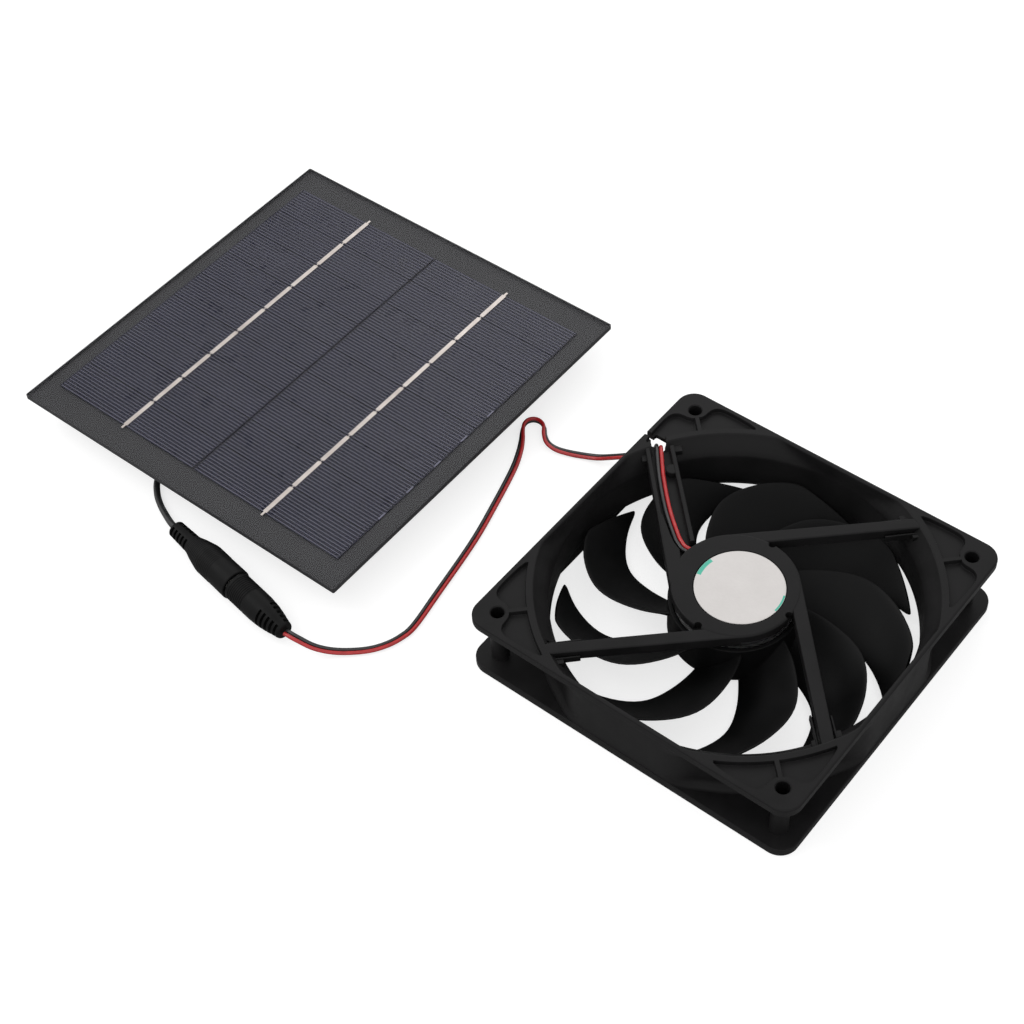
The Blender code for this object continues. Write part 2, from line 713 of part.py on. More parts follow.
def make_plug(parent, looks):
    """The fan's half: a moulded body around the barrel, from the seam to the fan leads."""
    face = SOCKET_LENGTH + GAP
    end = CONNECTOR_LENGTH
    body = [(0, face), (5.1, face), (5.35, face + 0.4), (5.35, face + 4.2)]
    body += [(5.2, face + 12.0), (4.9, face + 15.5)]
    body += ribbed(face + 16.5, end - 0.3, 4.4, 3.0, 4, 0.6)
    body += [(2.2, end), (0, end)]
    turned("plug_body", body, 18, parent, looks["connector"])
    tip = face - 10.0
    root = face - 0.3
    ring("plug_barrel", 2.35, 2.75, tip, root, 16, parent, looks["nickel"])
    ring("plug_insulator", 1.8, 2.15, tip + 0.2, root, 16, parent, looks["insulator"])
    ring("plug_centre_contact", 1.25, 1.6, tip + 0.6, root, 12, parent, looks["nickel"])


# ---------------------------------------------------------------- solar panel


def notched_strip(length, half_width, half_neck, y):
    """A row of CELL_COLUMNS equal pieces along X, joined to each other by narrow necks."""
    side = []
    for i in range(CELL_COLUMNS):
        x = (i - (CELL_COLUMNS - 1) / 2) * CELL_PITCH
        if i:
            side.append((x - length / 2, -half_neck))
        side += [(x - length / 2, -half_width), (x + length / 2, -half_width)]
        if i < CELL_COLUMNS - 1:
            side.append((x + length / 2, -half_neck))
    outline = side + [(-x, -across) for x, across in side]
    return [(CELL_CENTRE[0] + x, CELL_CENTRE[1] + y + across) for x, across in outline]


def make_panel(parent, looks):
    sheet = rounded_rectangle(PANEL_WIDTH / 2, PANEL_LENGTH / 2, 0.6, 2)
    prisms("panel_backsheet", [(sheet, *BACKSHEET)], parent, looks["panel_black"])
    cover = rounded_rectangle(PANEL_WIDTH / 2, PANEL_LENGTH / 2, 0.6, 2)
    prisms("front_film", [(cover, *FILM)], parent, looks["film"])
    for name, side in (("near", -1), ("far", 1)):
        cells = notched_strip(CELL_PITCH - CELL_SLIT, CELL_LENGTH / 2, 1.0, side * CELL_ROW_OFFSET)
        prisms(f"cell_row_{name}", [(cells, *CELLS)], parent, looks["cell"])
        bar = notched_strip(CELL_PITCH - 0.9, BUSBAR_WIDTH / 2, 0.3, side * BUSBAR_OFFSET)
        prisms(f"busbar_{name}", [(bar, *BUSBARS)], parent, looks["ribbon"])


def make_junction_box(parent, looks):
    x, y = BOX_HALF
    place = (0.0, BOX_OFFSET)
    outline = rounded_rectangle(x, y, 2.5, 3, place)
    lid = prisms("junction_box_lid", [(outline, *BOX_LID)], parent, looks["box"])
    bevel = lid.modifiers.new("edge", "BEVEL")
    bevel.width = 0.5 * MM
    bevel.segments = 1
    bevel.limit_method = "ANGLE"
    shell = prisms("junction_box_shell", [(outline, *BOX_SHELL)], parent, looks["box"])
    cavity = rounded_rectangle(x - BOX_WALL, y - BOX_WALL, 1.0, 1, place)
    hollow = prisms("box_cavity", [(cavity, BOX_SHELL[0] - 1, BOX_SHELL[1] - BOX_WALL)], parent)
    boolean(shell, hollow, "DIFFERENCE")
    pad = rectangle(x - 1.5, y - 1.5, place)
    prisms("junction_box_adhesive", [(pad, *BOX_ADHESIVE)], parent, looks["adhesive"])
    for name, side in (("terminal_positive", -1), ("terminal_negative", 1)):
        tab = rectangle(4.0, 2.5, (side * 8.0, BOX_OFFSET + 6.0))
        prisms(name, [(tab, 7.6, 8.2)], parent, looks["nickel"])
    diode = ((0, -8.0), (0.4, -8.0), (0.4, -2.6), (1.4, -2.6), (1.4, 2.6), (0.4, 2.6), (0.4, 8.0), (0, 8.0))
    lying = empty("diode_axis", PANEL_CENTRE + Vector((0, BOX_OFFSET - 4.0, 5.6)), Vector((1, 0, 0)))
    turned("blocking_diode", diode, 12, lying, looks["component"])

    # A hole in the shell's wall holds the lead's tapered relief
    wall = empty("relief_axis", PANEL_CENTRE + Vector((-x, BOX_OFFSET, RELIEF_HEIGHT)), Vector((-1, 0, 0)))
    hole = turned("relief_hole", ((0, -4), (2.6, -4), (2.6, 4), (0, 4)), 16, wall)
    boolean(shell, hole, "DIFFERENCE")
    hole_in_relief = PANEL_LEAD_RADIUS + GAP
    relief = ((hole_in_relief, -2.0), (2.3, -2.0), (2.3, 0.3), (3.4, 0.3), (3.2, 1.6))
    relief += ((2.1, 12.2), (hole_in_relief, 12.2))
    turned("lead_relief", relief, 16, wall, looks["rubber"], closed=True)


# ---------------------------------------------------------------- leads


def fan_lead_lines():
    """The two fan leads, side by side. The pair stands on edge where it doubles back."""
    fine = evenly([catmull(FAN_LEAD_ROUTE, i / 1600) for i in range(1601)], 500)
    red, black = [], []
    for i, point in enumerate(fine):
        before = Vector(fine[max(0, i - 1)][:3])
        after = Vector(fine[min(len(fine) - 1, i + 1)][:3])
        ahead = (after - before).normalized()
        azimuth = math.radians(point[3])
        dip = math.radians(point[4])
        flat = Vector((math.cos(azimuth), math.sin(azimuth), 0))
        side = flat * math.cos(dip) - Vector((0, 0, 1)) * math.sin(dip)
        side = (side - ahead * side.dot(ahead)).normalized()
        middle = Vector(point[:3])
        red.append(list(middle - side * FAN_LEAD_SPACING))
        black.append(list(middle + side * FAN_LEAD_SPACING))
    return evenly(red, FAN_LEAD_POINTS), evenly(black, FAN_LEAD_POINTS)


def make_leads(looks):
    red, black = fan_lead_lines()
    tube("red_lead", red, FAN_LEAD_RADIUS, looks["red_pvc"])
    tube("black_lead", black, FAN_LEAD_RADIUS, looks["black_pvc"])
    route = evenly([catmull(PANEL_LEAD_ROUTE, i / 600) for i in range(601)], PANEL_LEAD_POINTS)
    tube("panel_lead", route, PANEL_LEAD_RADIUS, looks["black_pvc"])


# ---------------------------------------------------------------- assembly


def make_looks():
    return {
        "frame_plastic": material("frame_plastic", (0.035, 0.035, 0.036), 0.45),
        "blade_plastic": material("blade_plastic", (0.018, 0.018, 0.019), 0.38),
        "label": material("label", (0.66, 0.63, 0.60), 0.55),
        "rubber": material("rubber", (0.02, 0.02, 0.02), 0.8),
        "bronze": material("bronze", (0.50, 0.33, 0.14), 0.4, 1.0),
        "steel": material("steel", (0.42, 0.42, 0.43), 0.45, 1.0),
        "bright_steel": material("bright_steel", (0.62, 0.62, 0.63), 0.2, 1.0),
        "magnet": material("magnet", (0.06, 0.06, 0.065), 0.6),
        "copper": material("copper", (0.62, 0.25, 0.10), 0.35, 1.0),
        "insulator": material("insulator", (0.78, 0.77, 0.72), 0.5),
        "board": material("board", (0.03, 0.16, 0.07), 0.45),
        "component": material("component", (0.03, 0.03, 0.032), 0.4),
        "nickel": material("nickel", (0.68, 0.67, 0.64), 0.25, 1.0),
        "connector": material("connector", (0.02, 0.02, 0.021), 0.5),
        "red_pvc": material("red_pvc", (0.62, 0.02, 0.02), 0.35),
        "black_pvc": material("black_pvc", (0.015, 0.015, 0.016), 0.4),
        "panel_black": material("panel_black", (0.035, 0.036, 0.04), 0.5),
        "film": material("film", (0.04, 0.04, 0.05), 0.3),
        "cell": material("cell", (0.02, 0.022, 0.05), 0.35),
        "ribbon": material("ribbon", (0.60, 0.57, 0.54), 0.4, 1.0),
        "box": material("box", (0.03, 0.03, 0.032), 0.5),
        "adhesive": material("adhesive", (0.55, 0.55, 0.55), 0.7),
    }


def main():
    clear_scene()
    looks = make_looks()
    fan = empty("fan_origin", FAN_CENTRE)
    make_frame(fan, looks["frame_plastic"])
    make_bearing(fan, looks)
    make_stator(fan, looks)
    make_driver(fan, looks)
    make_rotor(empty("rotor_axis", FAN_CENTRE), looks)
    along = (CONNECTOR_END - CONNECTOR_START).normalized()
    make_socket(empty("socket_axis", CONNECTOR_START, along), looks)
    make_plug(empty("plug_axis", CONNECTOR_START, along), looks)
    panel = empty("panel_origin", PANEL_CENTRE)
    make_panel(panel, looks)
    make_junction_box(panel, looks)
    make_leads(looks)


main()
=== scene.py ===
"""Visual model of the solar attic fan: axial fan, leads with a barrel connector, and solar panel.

Sizes and places are in millimetres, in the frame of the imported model. Meshes are made in metres.
"""

import math

import bmesh
import bpy
from mathutils import Matrix, Vector


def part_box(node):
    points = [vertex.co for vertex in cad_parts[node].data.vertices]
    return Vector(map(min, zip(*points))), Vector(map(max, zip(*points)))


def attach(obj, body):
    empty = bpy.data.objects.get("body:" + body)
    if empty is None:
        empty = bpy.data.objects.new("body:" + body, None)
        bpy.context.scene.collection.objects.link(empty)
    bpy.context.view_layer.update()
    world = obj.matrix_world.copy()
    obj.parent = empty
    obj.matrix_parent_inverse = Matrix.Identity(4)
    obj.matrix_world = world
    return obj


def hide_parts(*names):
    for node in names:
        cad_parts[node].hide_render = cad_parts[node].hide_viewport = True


MM = 0.001

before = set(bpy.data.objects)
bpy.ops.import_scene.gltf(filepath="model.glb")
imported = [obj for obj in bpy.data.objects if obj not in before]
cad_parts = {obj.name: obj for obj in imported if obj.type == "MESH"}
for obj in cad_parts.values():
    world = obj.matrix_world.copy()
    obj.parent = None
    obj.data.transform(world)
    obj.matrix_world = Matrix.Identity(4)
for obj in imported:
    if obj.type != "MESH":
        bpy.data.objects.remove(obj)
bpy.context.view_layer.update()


def middle_of(node):
    low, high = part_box(node)
    return (Vector(low) + Vector(high)) / (2 * MM)


FAN = middle_of("frame_housing")
FAN.z = 0.0
PANEL = middle_of("panel_backsheet")
PANEL.z = 0.0
GAP = 0.3

# Fan frame
FAN_HALF = 60.0
FAN_DEPTH = 25.0
CORNER_RADIUS = 6.3
FLANGE = 3.2
DUCT_OUTER = 60.2
COLLAR_OUTER = 62.3
COLLAR_DEPTH = 4.0
SIDE_WALL = 59.65
THROAT = 58.0
MOUTH = 62.5
MOUTH_CLIP = 58.3
MOUTH_DEPTH = 7.0
HOLE_PLACE = 52.5
HOLE_CENTRES = [(x * HOLE_PLACE, y * HOLE_PLACE) for x in (-1, 1) for y in (-1, 1)]
HOLE_RADIUS = 2.2
POST_RADIUS = 2.9
POCKET_DEPTH = 1.6
POCKET_EDGE = (
    (31.9, 57.5),
    (34.8, 58.0),
    (40.0, 58.2),
    (44.4, 58.1),
    (46.6, 57.4),
    (47.8, 56.0),
    (48.2, 54.2),
    (48.35, 52.6),
    (48.8, 51.2),
    (49.35, 50.5),
)
LIP_RADIUS = 65.2

# Spokes and motor base. Quarter 0 holds the wire channel, and the others a plain spoke each
PLAIN_SPOKES = (1, 2, 3)
# A plain spoke's two edges, each from its inner end to its outer end as (along, across)
SPOKE_NEAR = ((2.0, 15.6), (60.0, 13.9))
SPOKE_FAR = ((2.0, 20.2), (60.0, 18.0))
SPOKE_BOTTOM = 20.8
SPOKE_TOP = 24.85
SPOKE_REACH = (61.4, 63.2)
BASE_RADIUS = 20.3
BASE_BOTTOM = 21.8
CHANNEL_RAIL = 9.5
RAIL_START = 19.2
TUNNEL_TOP = 24.4
CORNER_NOTCH = (14.2, 13.9)
CORNER_NOTCH_RADIUS = 1.25
HALF_TURN = [math.pi * i / 12 for i in range(13)]
CHANNEL_EDGE = 19.0
CHANNEL_LEAN = 1.15
CHANNEL_WALL = 1.5
CHANNEL_FLOOR = 1.4
LEAD_BED = SPOKE_BOTTOM + CHANNEL_FLOOR
FIN_TOP = 23.5
LUG_TOP = 23.2
TAB_CENTRE = (50.2, 11.7)
TAB_RADIUS = 2.0
LABEL_RADIUS = 14.25
LABEL_CENTRE = (-0.1, -1.6)
LABEL_TOP = 24.95
BEARING_TUBE = (4.1, 5.2)
BEARING_TUBE_END = 8.4

# Impeller
SHAFT_RADIUS = 1.5
HUB_RADIUS = 21.0
HUB_WALL = 1.5
HUB_BOTTOM = 2.0
HUB_TOP = 18.2
BLADES = 9
BLADE_THICKNESS = 1.3
# Each blade edge as (radius, angle in degrees, height)
LEADING_EDGE = (
    (20.2, 99.5, 2.4),
    (31.0, 96.5, 2.4),
    (40.5, 91.0, 2.4),
    (49.5, 79.5, 2.8),
    (56.2, 69.0, 4.4),
)
TRAILING_EDGE = (
    (20.2, 141.0, 16.5),
    (31.0, 131.0, 15.7),
    (42.4, 120.0, 15.2),
    (50.0, 107.0, 14.6),
    (56.2, 93.0, 13.2),
)

# Solar panel
PANEL_WIDTH = 148.0
PANEL_LENGTH = 145.0
CELL_COLUMNS = 9
CELL_CENTRE = (0.2, 0.8)
CELL_PITCH = 14.15
CELL_SLIT = 0.5
CELL_LENGTH = 64.9
CELL_ROW_OFFSET = 32.95
CELLS = (13.65, 13.9)
FINGERS = 11
FINGER_PITCH = CELL_PITCH / FINGERS
FINGER_WIDTH = 0.19
BUSBAR_OFFSET = 33.0
BUSBAR_WIDTH = 1.65
BUSBARS = (14.1, 14.25)
BACKSHEET = (12.4, 13.4)
FILM = (14.5, 15.0)
BOX_HALF = (28.0, 18.0)
BOX_OFFSET = 10.0
BOX_WALL = 2.0
BOX_LID = (0.0, 2.0)
BOX_SHELL = (2.3, 11.3)
RELIEF_HEIGHT = 6.0

# Barrel connector
CONNECTOR_START = Vector((-81.6, 75.7, 5.7))
CONNECTOR_END = Vector((-91.2, 16.9, 5.7))
CONNECTOR_LENGTH = (CONNECTOR_END - CONNECTOR_START).length
SOCKET_LENGTH = 33.6
SLOTS = 5
SLOT_PITCH = 1.85
SLOT_WIDTH = 1.0
SLOT_REACH = 68

# Leads
FAN_LEAD_RADIUS = 0.65
FAN_LEAD_SPACING = 0.72
PANEL_LEAD_RADIUS = 1.15
# The middle line between the two fan leads, from the motor to the plug: x, y and z, then in degrees
# the azimuth of the direction from the red lead to the black one, and how far that direction dips
FAN_LEAD_ROUTE = (
    (1.1, -77.8, 23.3, 193, 0),
    (0.5, -73.7, 23.35, 172, 0),
    (1.4, -71.2, 23.4, 155, 0),
    (3.0, -68.6, 23.5, 144, 0),
    (10.4, -59.9, 23.2, 135, 0),
    (19.7, -50.8, 23.3, 135, 0),
    (27.9, -43.9, 23.6, 132, 0),
    (30.4, -41.9, 23.1, 122, 0),
    (32.1, -40.5, 21.2, 95, 0),
    (32.7, -39.2, 18.4, 65, 0),
    (32.6, -37.5, 15.8, 38, 0),
    (32.0, -34.7, 13.4, 15, 0),
    (30.8, -26.1, 7.8, 0, 0),
    (30.5, -21.5, 4.6, 0, 0),
    (29.8, -16.9, 2.0, 0, 0),
    (28.2, -11.9, 0.98, -10, 3),
    (26.2, -7.0, 0.98, -15, 8),
    (25.0, -2.4, 1.03, -10, 18),
    (25.4, 1.6, 1.23, -22, 38),
    (27.6, 4.7, 1.48, -33, 62),
    (30.3, 7.0, 1.6, -36, 78),
    (31.4, 9.5, 1.62, -8, 80),
    (30.9, 11.9, 1.62, 28, 80),
    (29.1, 13.3, 1.62, 64, 80),
    (26.8, 13.2, 1.62, 96, 80),
    (24.2, 11.8, 1.58, 116, 68),
    (20.8, 9.4, 1.4, 119, 46),
    (16.0, 6.7, 1.16, 114, 24),
    (8.5, 3.6, 0.96, 110, 13),
    (-6.5, -0.9, 0.95, 106, 12),
    (-24.0, -5.5, 0.95, 104, 12),
    (-48.0, -9.9, 0.95, 100, 12),
    (-62.0, -12.3, 0.95, 88, 12),
    (-68.0, -11.9, 0.95, 78, 12),
    (-73.6, -9.9, 0.95, 64, 12),
    (-79.0, -6.1, 0.98, 50, 10),
    (-84.9, 0.3, 1.58, 42, 6),
    (-89.0, 5.9, 3.6, 31, 3),
    (-90.85, 11.8, 5.45, 16, 0),
    (-91.26, 16.55, 5.7, 9.3, 0),
)
PANEL_LEAD_ROUTE = (
    (-40.6, 92.8, 6.0),
    (-46.0, 93.2, 5.5),
    (-52.0, 95.2, 3.3),
    (-58.0, 98.2, 1.7),
    (-63.0, 100.0, 1.25),
    (-67.6, 99.4, 1.25),
    (-72.2, 95.0, 1.4),
    (-75.7, 89.6, 2.2),
    (-79.0, 82.7, 3.9),
    (-80.7, 78.7, 5.2),
    (-81.54, 76.07, 5.7),
)


# ---------------- camera


def make_camera():
    data = bpy.data.cameras.new("camera")
    data.lens = 70.75
    data.sensor_width = 36.0
    data.clip_start = 0.01
    camera = bpy.data.objects.new("camera", data)
    bpy.context.scene.collection.objects.link(camera)
    right = Vector((0.62418, -0.77990, -0.04631))
    up = Vector((0.61662, 0.45537, 0.64220))
    back = Vector((-0.47977, -0.42940, 0.76514))
    turn = Matrix((right, up, back)).transposed()
    place = (-0.33084, -0.29842, 0.51876)
    camera.matrix_world = Matrix.Translation(place) @ turn.to_4x4()
    bpy.context.scene.camera = camera


# ---------------- curves and outlines


def catmull(points, fraction):
    """A point of the smooth curve through points, with fraction running from 0 to 1 over them."""
    place = fraction * (len(points) - 1)
    i = min(int(place), len(points) - 2)
    t = place - i
    p1, p2 = points[i], points[i + 1]
    p0 = points[i - 1] if i else [2 * a - b for a, b in zip(p1, p2)]
    p3 = points[i + 2] if i + 2 < len(points) else [2 * b - a for a, b in zip(p1, p2)]
    out = []
    for a, b, c, d in zip(p0, p1, p2, p3):
        square = 2 * a - 5 * b + 4 * c - d
        cube = 3 * b - a - 3 * c + d
        out.append(0.5 * (2 * b + (c - a) * t + square * t**2 + cube * t**3))
    return out


def evenly(curve, count):
    """Picks count points at equal distances along curve, which has x, y and z first in each point."""
    lengths = [0.0]
    for a, b in zip(curve, curve[1:]):
        lengths.append(lengths[-1] + math.dist(a[:3], b[:3]))
    picked = []
    k = 0
    for i in range(count):
        goal = lengths[-1] * i / (count - 1)
        while k < len(curve) - 2 and lengths[k + 1] < goal:
            k += 1
        share = (goal - lengths[k]) / (lengths[k + 1] - lengths[k])
        picked.append([a + (b - a) * share for a, b in zip(curve[k], curve[k + 1])])
    return picked


def circle(radius, count, centre=(0.0, 0.0)):
    steps = [2 * math.pi * i / count for i in range(count)]
    return [(centre[0] + radius * math.cos(a), centre[1] + radius * math.sin(a)) for a in steps]


def rectangle(half_x, half_y, centre=(0.0, 0.0)):
    signs = ((-1, -1), (1, -1), (1, 1), (-1, 1))
    return [(centre[0] + x * half_x, centre[1] + y * half_y) for x, y in signs]


def rounded_rectangle(half_x, half_y, radius, steps=8, centre=(0.0, 0.0)):
    outline = []
    for quarter, (x, y) in enumerate(((1, 1), (-1, 1), (-1, -1), (1, -1))):
        corner = (centre[0] + x * (half_x - radius), centre[1] + y * (half_y - radius))
        for i in range(steps + 1):
            a = math.pi / 2 * (quarter + i / steps)
            outline.append((corner[0] + radius * math.cos(a), corner[1] + radius * math.sin(a)))
    return outline


def polar(radius_at, count=192):
    """An outline whose distance from the middle depends on the direction, in radians."""
    steps = [2 * math.pi * i / count for i in range(count)]
    return [(radius_at(a) * math.cos(a), radius_at(a) * math.sin(a)) for a in steps]


def clipped_circle(radius, clip):
    """A circle with its sides cut flat where it would pass a square of half width clip."""
    return polar(lambda a: min(radius, clip / max(abs(math.cos(a)), abs(math.sin(a)))))


def turned_outline(outline, degrees):
    c = math.cos(math.radians(degrees))
    s = math.sin(math.radians(degrees))
    return [(c * x - s * y, s * x + c * y) for x, y in outline]


def area_of(outline):
    pairs = zip(outline, outline[1:] + outline[:1])
    return sum(a[0] * b[1] - b[0] * a[1] for a, b in pairs) / 2


def grown(outline, distance):
    """The outline moved outward by distance, corner by corner."""
    turn = 1 if area_of(outline) > 0 else -1
    count = len(outline)
    moved = []
    for i in range(count):
        before = Vector(outline[i - 1])
        here = Vector(outline[i])
        after = Vector(outline[(i + 1) % count])
        one = (here - before).normalized()
        two = (after - here).normalized()
        normal = (Vector((one.y, -one.x)) + Vector((two.y, -two.x))) * turn
        normal.normalize()
        reach = 1 / max(0.5, normal.dot(Vector((one.y, -one.x)) * turn))
        moved.append(tuple(here + normal * distance * reach))
    return moved


def corner_arc(before, here, after, radius, steps):
    """Points that round off the corner at here."""
    before, here, after = Vector(before), Vector(here), Vector(after)
    start = here + (before - here).normalized() * min(radius, (before - here).length * 0.45)
    end = here + (after - here).normalized() * min(radius, (after - here).length * 0.45)
    ts = [k / steps for k in range(steps + 1)]
    return [tuple(start * (1 - t) ** 2 + here * 2 * t * (1 - t) + end * t**2) for t in ts]


def softened(outline, radius, steps=4):
    """The outline with each corner rounded off."""
    out = []
    for i, here in enumerate(outline):
        out += corner_arc(outline[i - 1], here, outline[(i + 1) % len(outline)], radius, steps)
    return out


# ---------------- meshes


def add_loft(bm, rings):
    """Skins rings of equal point count, and closes both ends."""
    loops = [[bm.verts.new(p) for p in ring] for ring in rings]
    for low, high in zip(loops, loops[1:]):
        for i in range(len(low)):
            j = (i + 1) % len(low)
            bm.faces.new((low[i], low[j], high[j], high[i]))
    bm.faces.new(loops[0][::-1])
    bm.faces.new(loops[-1])


def add_plate(bm, outline, bottom, top, edge=0.0, steps=3, lower_edge=None):
    """A plate with its upper and lower edges rounded by the radius edge."""
    lower = edge if lower_edge is None else lower_edge
    quarter = [math.pi / 2 * i / steps for i in range(steps + 1)]
    levels = [(bottom, 0.0)]
    if lower:
        levels = [(bottom + lower * (1 - math.cos(a)), lower * (1 - math.sin(a))) for a in quarter]
    if edge:
        levels += [(top - edge * (1 - math.sin(a)), edge * (1 - math.cos(a))) for a in quarter]
    else:
        levels.append((top, 0.0))
    rings = []
    for z, inset in levels:
        shape = grown(outline, -inset) if inset > 1e-6 else outline
        rings.append([(x, y, z) for x, y in shape])
    add_loft(bm, rings)


def add_turned(bm, profile, segments, closed=False, centre=(0.0, 0.0)):
    """Turns (radius, height) points about Z. Points on the axis become poles; closed makes a ring."""
    rows = []
    for radius, height in profile:
        if radius == 0:
            rows.append([bm.verts.new((*centre, height))])
        else:
            rows.append([bm.verts.new((x, y, height)) for x, y in circle(radius, segments, centre)])
    pairs = list(zip(rows, rows[1:]))
    if closed:
        pairs.append((rows[-1], rows[0]))
    for low, high in pairs:
        for i in range(segments):
            j = (i + 1) % segments
            corners = [low[i % len(low)], low[j % len(low)], high[j % len(high)], high[i % len(high)]]
            face = list(dict.fromkeys(corners))
            if len(face) > 2:
                bm.faces.new(face)


def bead(profile, radius, steps=3):
    """A (radius, height) profile with its corners rounded off."""
    out = [profile[0]]
    for before, here, after in zip(profile, profile[1:], profile[2:]):
        out += corner_arc(before, here, after, radius, steps)
    return out + [profile[-1]]


def at(place):
    return Matrix.Translation(place)


def solid(name, bm, matrix=None):
    """Makes an object of bm, given in millimetres about the place that matrix says."""
    bmesh.ops.recalc_face_normals(bm, faces=bm.faces)
    if matrix is not None:
        bmesh.ops.transform(bm, matrix=matrix, verts=bm.verts)
    bmesh.ops.scale(bm, vec=(MM, MM, MM), verts=bm.verts)
    mesh = bpy.data.meshes.new(name)
    bm.to_mesh(mesh)
    bm.free()
    obj = bpy.data.objects.new(name, mesh)
    bpy.context.scene.collection.objects.link(obj)
    return obj


def settle(obj):
    """Makes what the object's modifiers do part of its mesh."""
    graph = bpy.context.evaluated_depsgraph_get()
    mesh = bpy.data.meshes.new_from_object(obj.evaluated_get(graph), depsgraph=graph)
    old = obj.data
    obj.modifiers.clear()
    obj.data = mesh
    bpy.data.meshes.remove(old)
    mesh.name = obj.name


def combine(target, other, operation):
    modifier = target.modifiers.new("shape", "BOOLEAN")
    modifier.operation = operation
    modifier.object = other
    modifier.solver = "EXACT"
    settle(target)
    mesh = other.data
    bpy.data.objects.remove(other)
    bpy.data.meshes.remove(mesh)


def made(name, add, *shape, place=None, **options):
    """The shape that add makes, as an object. Its sizes are about the place."""
    bm = bmesh.new()
    add(bm, *shape, **options)
    return solid(name, bm, place)


def change(target, operation, name, add, *shape, **options):
    """Joins to target, or cuts from it, the shape that add makes."""
    combine(target, made(name, add, *shape, **options), operation)


def carry(obj, matrix):
    """Moves a finished shape by a matrix that is in millimetres."""
    scale = Matrix.Scale(MM, 4)
    obj.data.transform(scale @ matrix @ scale.inverted())


# ---------------- materials


class Look:
    """A material built from nodes. Sizes and depths are in millimetres on the surface."""

    def __init__(self, name, metallic=0.0, roughness=0.5):
        self.material = bpy.data.materials.new(name)
        self.material.use_nodes = True
        self.nodes = self.material.node_tree.nodes
        self.links = self.material.node_tree.links
        self.shader = self.nodes["Principled BSDF"]
        self.shader.inputs["Metallic"].default_value = metallic
        self.shader.inputs["Roughness"].default_value = roughness
        self.place = self.nodes.new("ShaderNodeTexCoord").outputs["Object"]
        self.normal = None

    def placed(self, size, stretch):
        mapping = self.nodes.new("ShaderNodeMapping")
        mapping.inputs["Scale"].default_value = [s / (size * MM) for s in stretch]
        self.links.new(self.place, mapping.inputs["Vector"])
        return mapping.outputs["Vector"]

    def pattern(self, kind, size, stretch, scale=1.0):
        node = self.nodes.new(kind)
        node.inputs["Scale"].default_value = scale
        self.links.new(self.placed(size, stretch), node.inputs["Vector"])
        return node

    def noise(self, size, detail=3.0, stretch=(1.0, 1.0, 1.0)):
        node = self.pattern("ShaderNodeTexNoise", size, stretch)
        node.inputs["Detail"].default_value = detail
        return node.outputs["Fac"]

    def cells(self, size, stretch=(1.0, 1.0, 1.0), output="Distance"):
        return self.pattern("ShaderNodeTexVoronoi", size, stretch).outputs[output]

    def waves(self, size, direction):
        node = self.pattern("ShaderNodeTexWave", size, (1.0, 1.0, 1.0), 0.314)
        node.bands_direction = direction
        return node.outputs["Fac"]

    def ramp(self, factor, stops):
        node = self.nodes.new("ShaderNodeValToRGB")
        while len(node.color_ramp.elements) < len(stops):
            node.color_ramp.elements.new(0.5)
        for element, (place, colour) in zip(node.color_ramp.elements, stops):
            element.position = place
            element.color = (*colour, 1.0)
        self.links.new(factor, node.inputs["Fac"])
        return node.outputs["Color"]

    def multiply(self, a, b):
        node = self.nodes.new("ShaderNodeMix")
        node.data_type = "RGBA"
        node.blend_type = "MULTIPLY"
        node.inputs["Factor"].default_value = 1.0
        self.links.new(a, node.inputs["A"])
        self.links.new(b, node.inputs["B"])
        return node.outputs["Result"]

    def set(self, **values):
        """Sets the shader's inputs, with an underscore for each space in a name."""
        for name, value in values.items():
            self.shader.inputs[name.replace("_", " ")].default_value = value

    def colour(self, socket):
        self.links.new(socket, self.shader.inputs["Base Color"])

    def shade(self, pattern, low, dark, high, light):
        """Colours that run from dark where pattern is low to light where it is high."""
        self.colour(self.ramp(pattern, ((low, dark), (high, light))))

    def rough(self, factor, low, high):
        node = self.nodes.new("ShaderNodeMapRange")
        node.inputs["From Min"].default_value = 0.3
        node.inputs["From Max"].default_value = 0.7
        node.inputs["To Min"].default_value = low
        node.inputs["To Max"].default_value = high
        self.links.new(factor, node.inputs["Value"])
        self.links.new(node.outputs["Result"], self.shader.inputs["Roughness"])

    def bump(self, height, depth, strength=1.0):
        node = self.nodes.new("ShaderNodeBump")
        node.inputs["Strength"].default_value = strength
        node.inputs["Distance"].default_value = depth * MM
        self.links.new(height, node.inputs["Height"])
        if self.normal:
            self.links.new(self.normal, node.inputs["Normal"])
        self.normal = node.outputs["Normal"]
        self.links.new(self.normal, self.shader.inputs["Normal"])


def moulded(name, dark, light, rough, grain=0.22, depth=0.012, patch=9.0, shine=0.22):
    """Moulded plastic: a fine sparked grain, faint flow clouds, and a sheen that varies a little."""
    look = Look(name)
    look.set(Specular_IOR_Level=shine)
    clouds = look.noise(patch, 4.0, (1.0, 1.0, 0.6))
    fine = look.noise(grain, 2.0)
    base = look.ramp(clouds, ((0.32, dark), (0.68, light)))
    specks = look.ramp(fine, ((0.3, (0.86, 0.86, 0.86)), (0.75, (1.08, 1.08, 1.08))))
    look.colour(look.multiply(base, specks))
    look.rough(clouds, *rough)
    look.bump(fine, depth)
    look.bump(look.noise(patch * 0.6, 2.0), depth * 2.0, 0.5)
    return look.material


def metal(name, dark, light, rough, stretch=(1.0, 1.0, 1.0), size=1.2):
    """Metal with fine drawing or turning marks and small stains."""
    look = Look(name, metallic=1.0)
    marks = look.noise(size, 5.0, stretch)
    look.shade(look.noise(size * 6, 3.0), 0.3, dark, 0.7, light)
    look.rough(marks, *rough)
    look.bump(marks, 0.012)
    return look.material


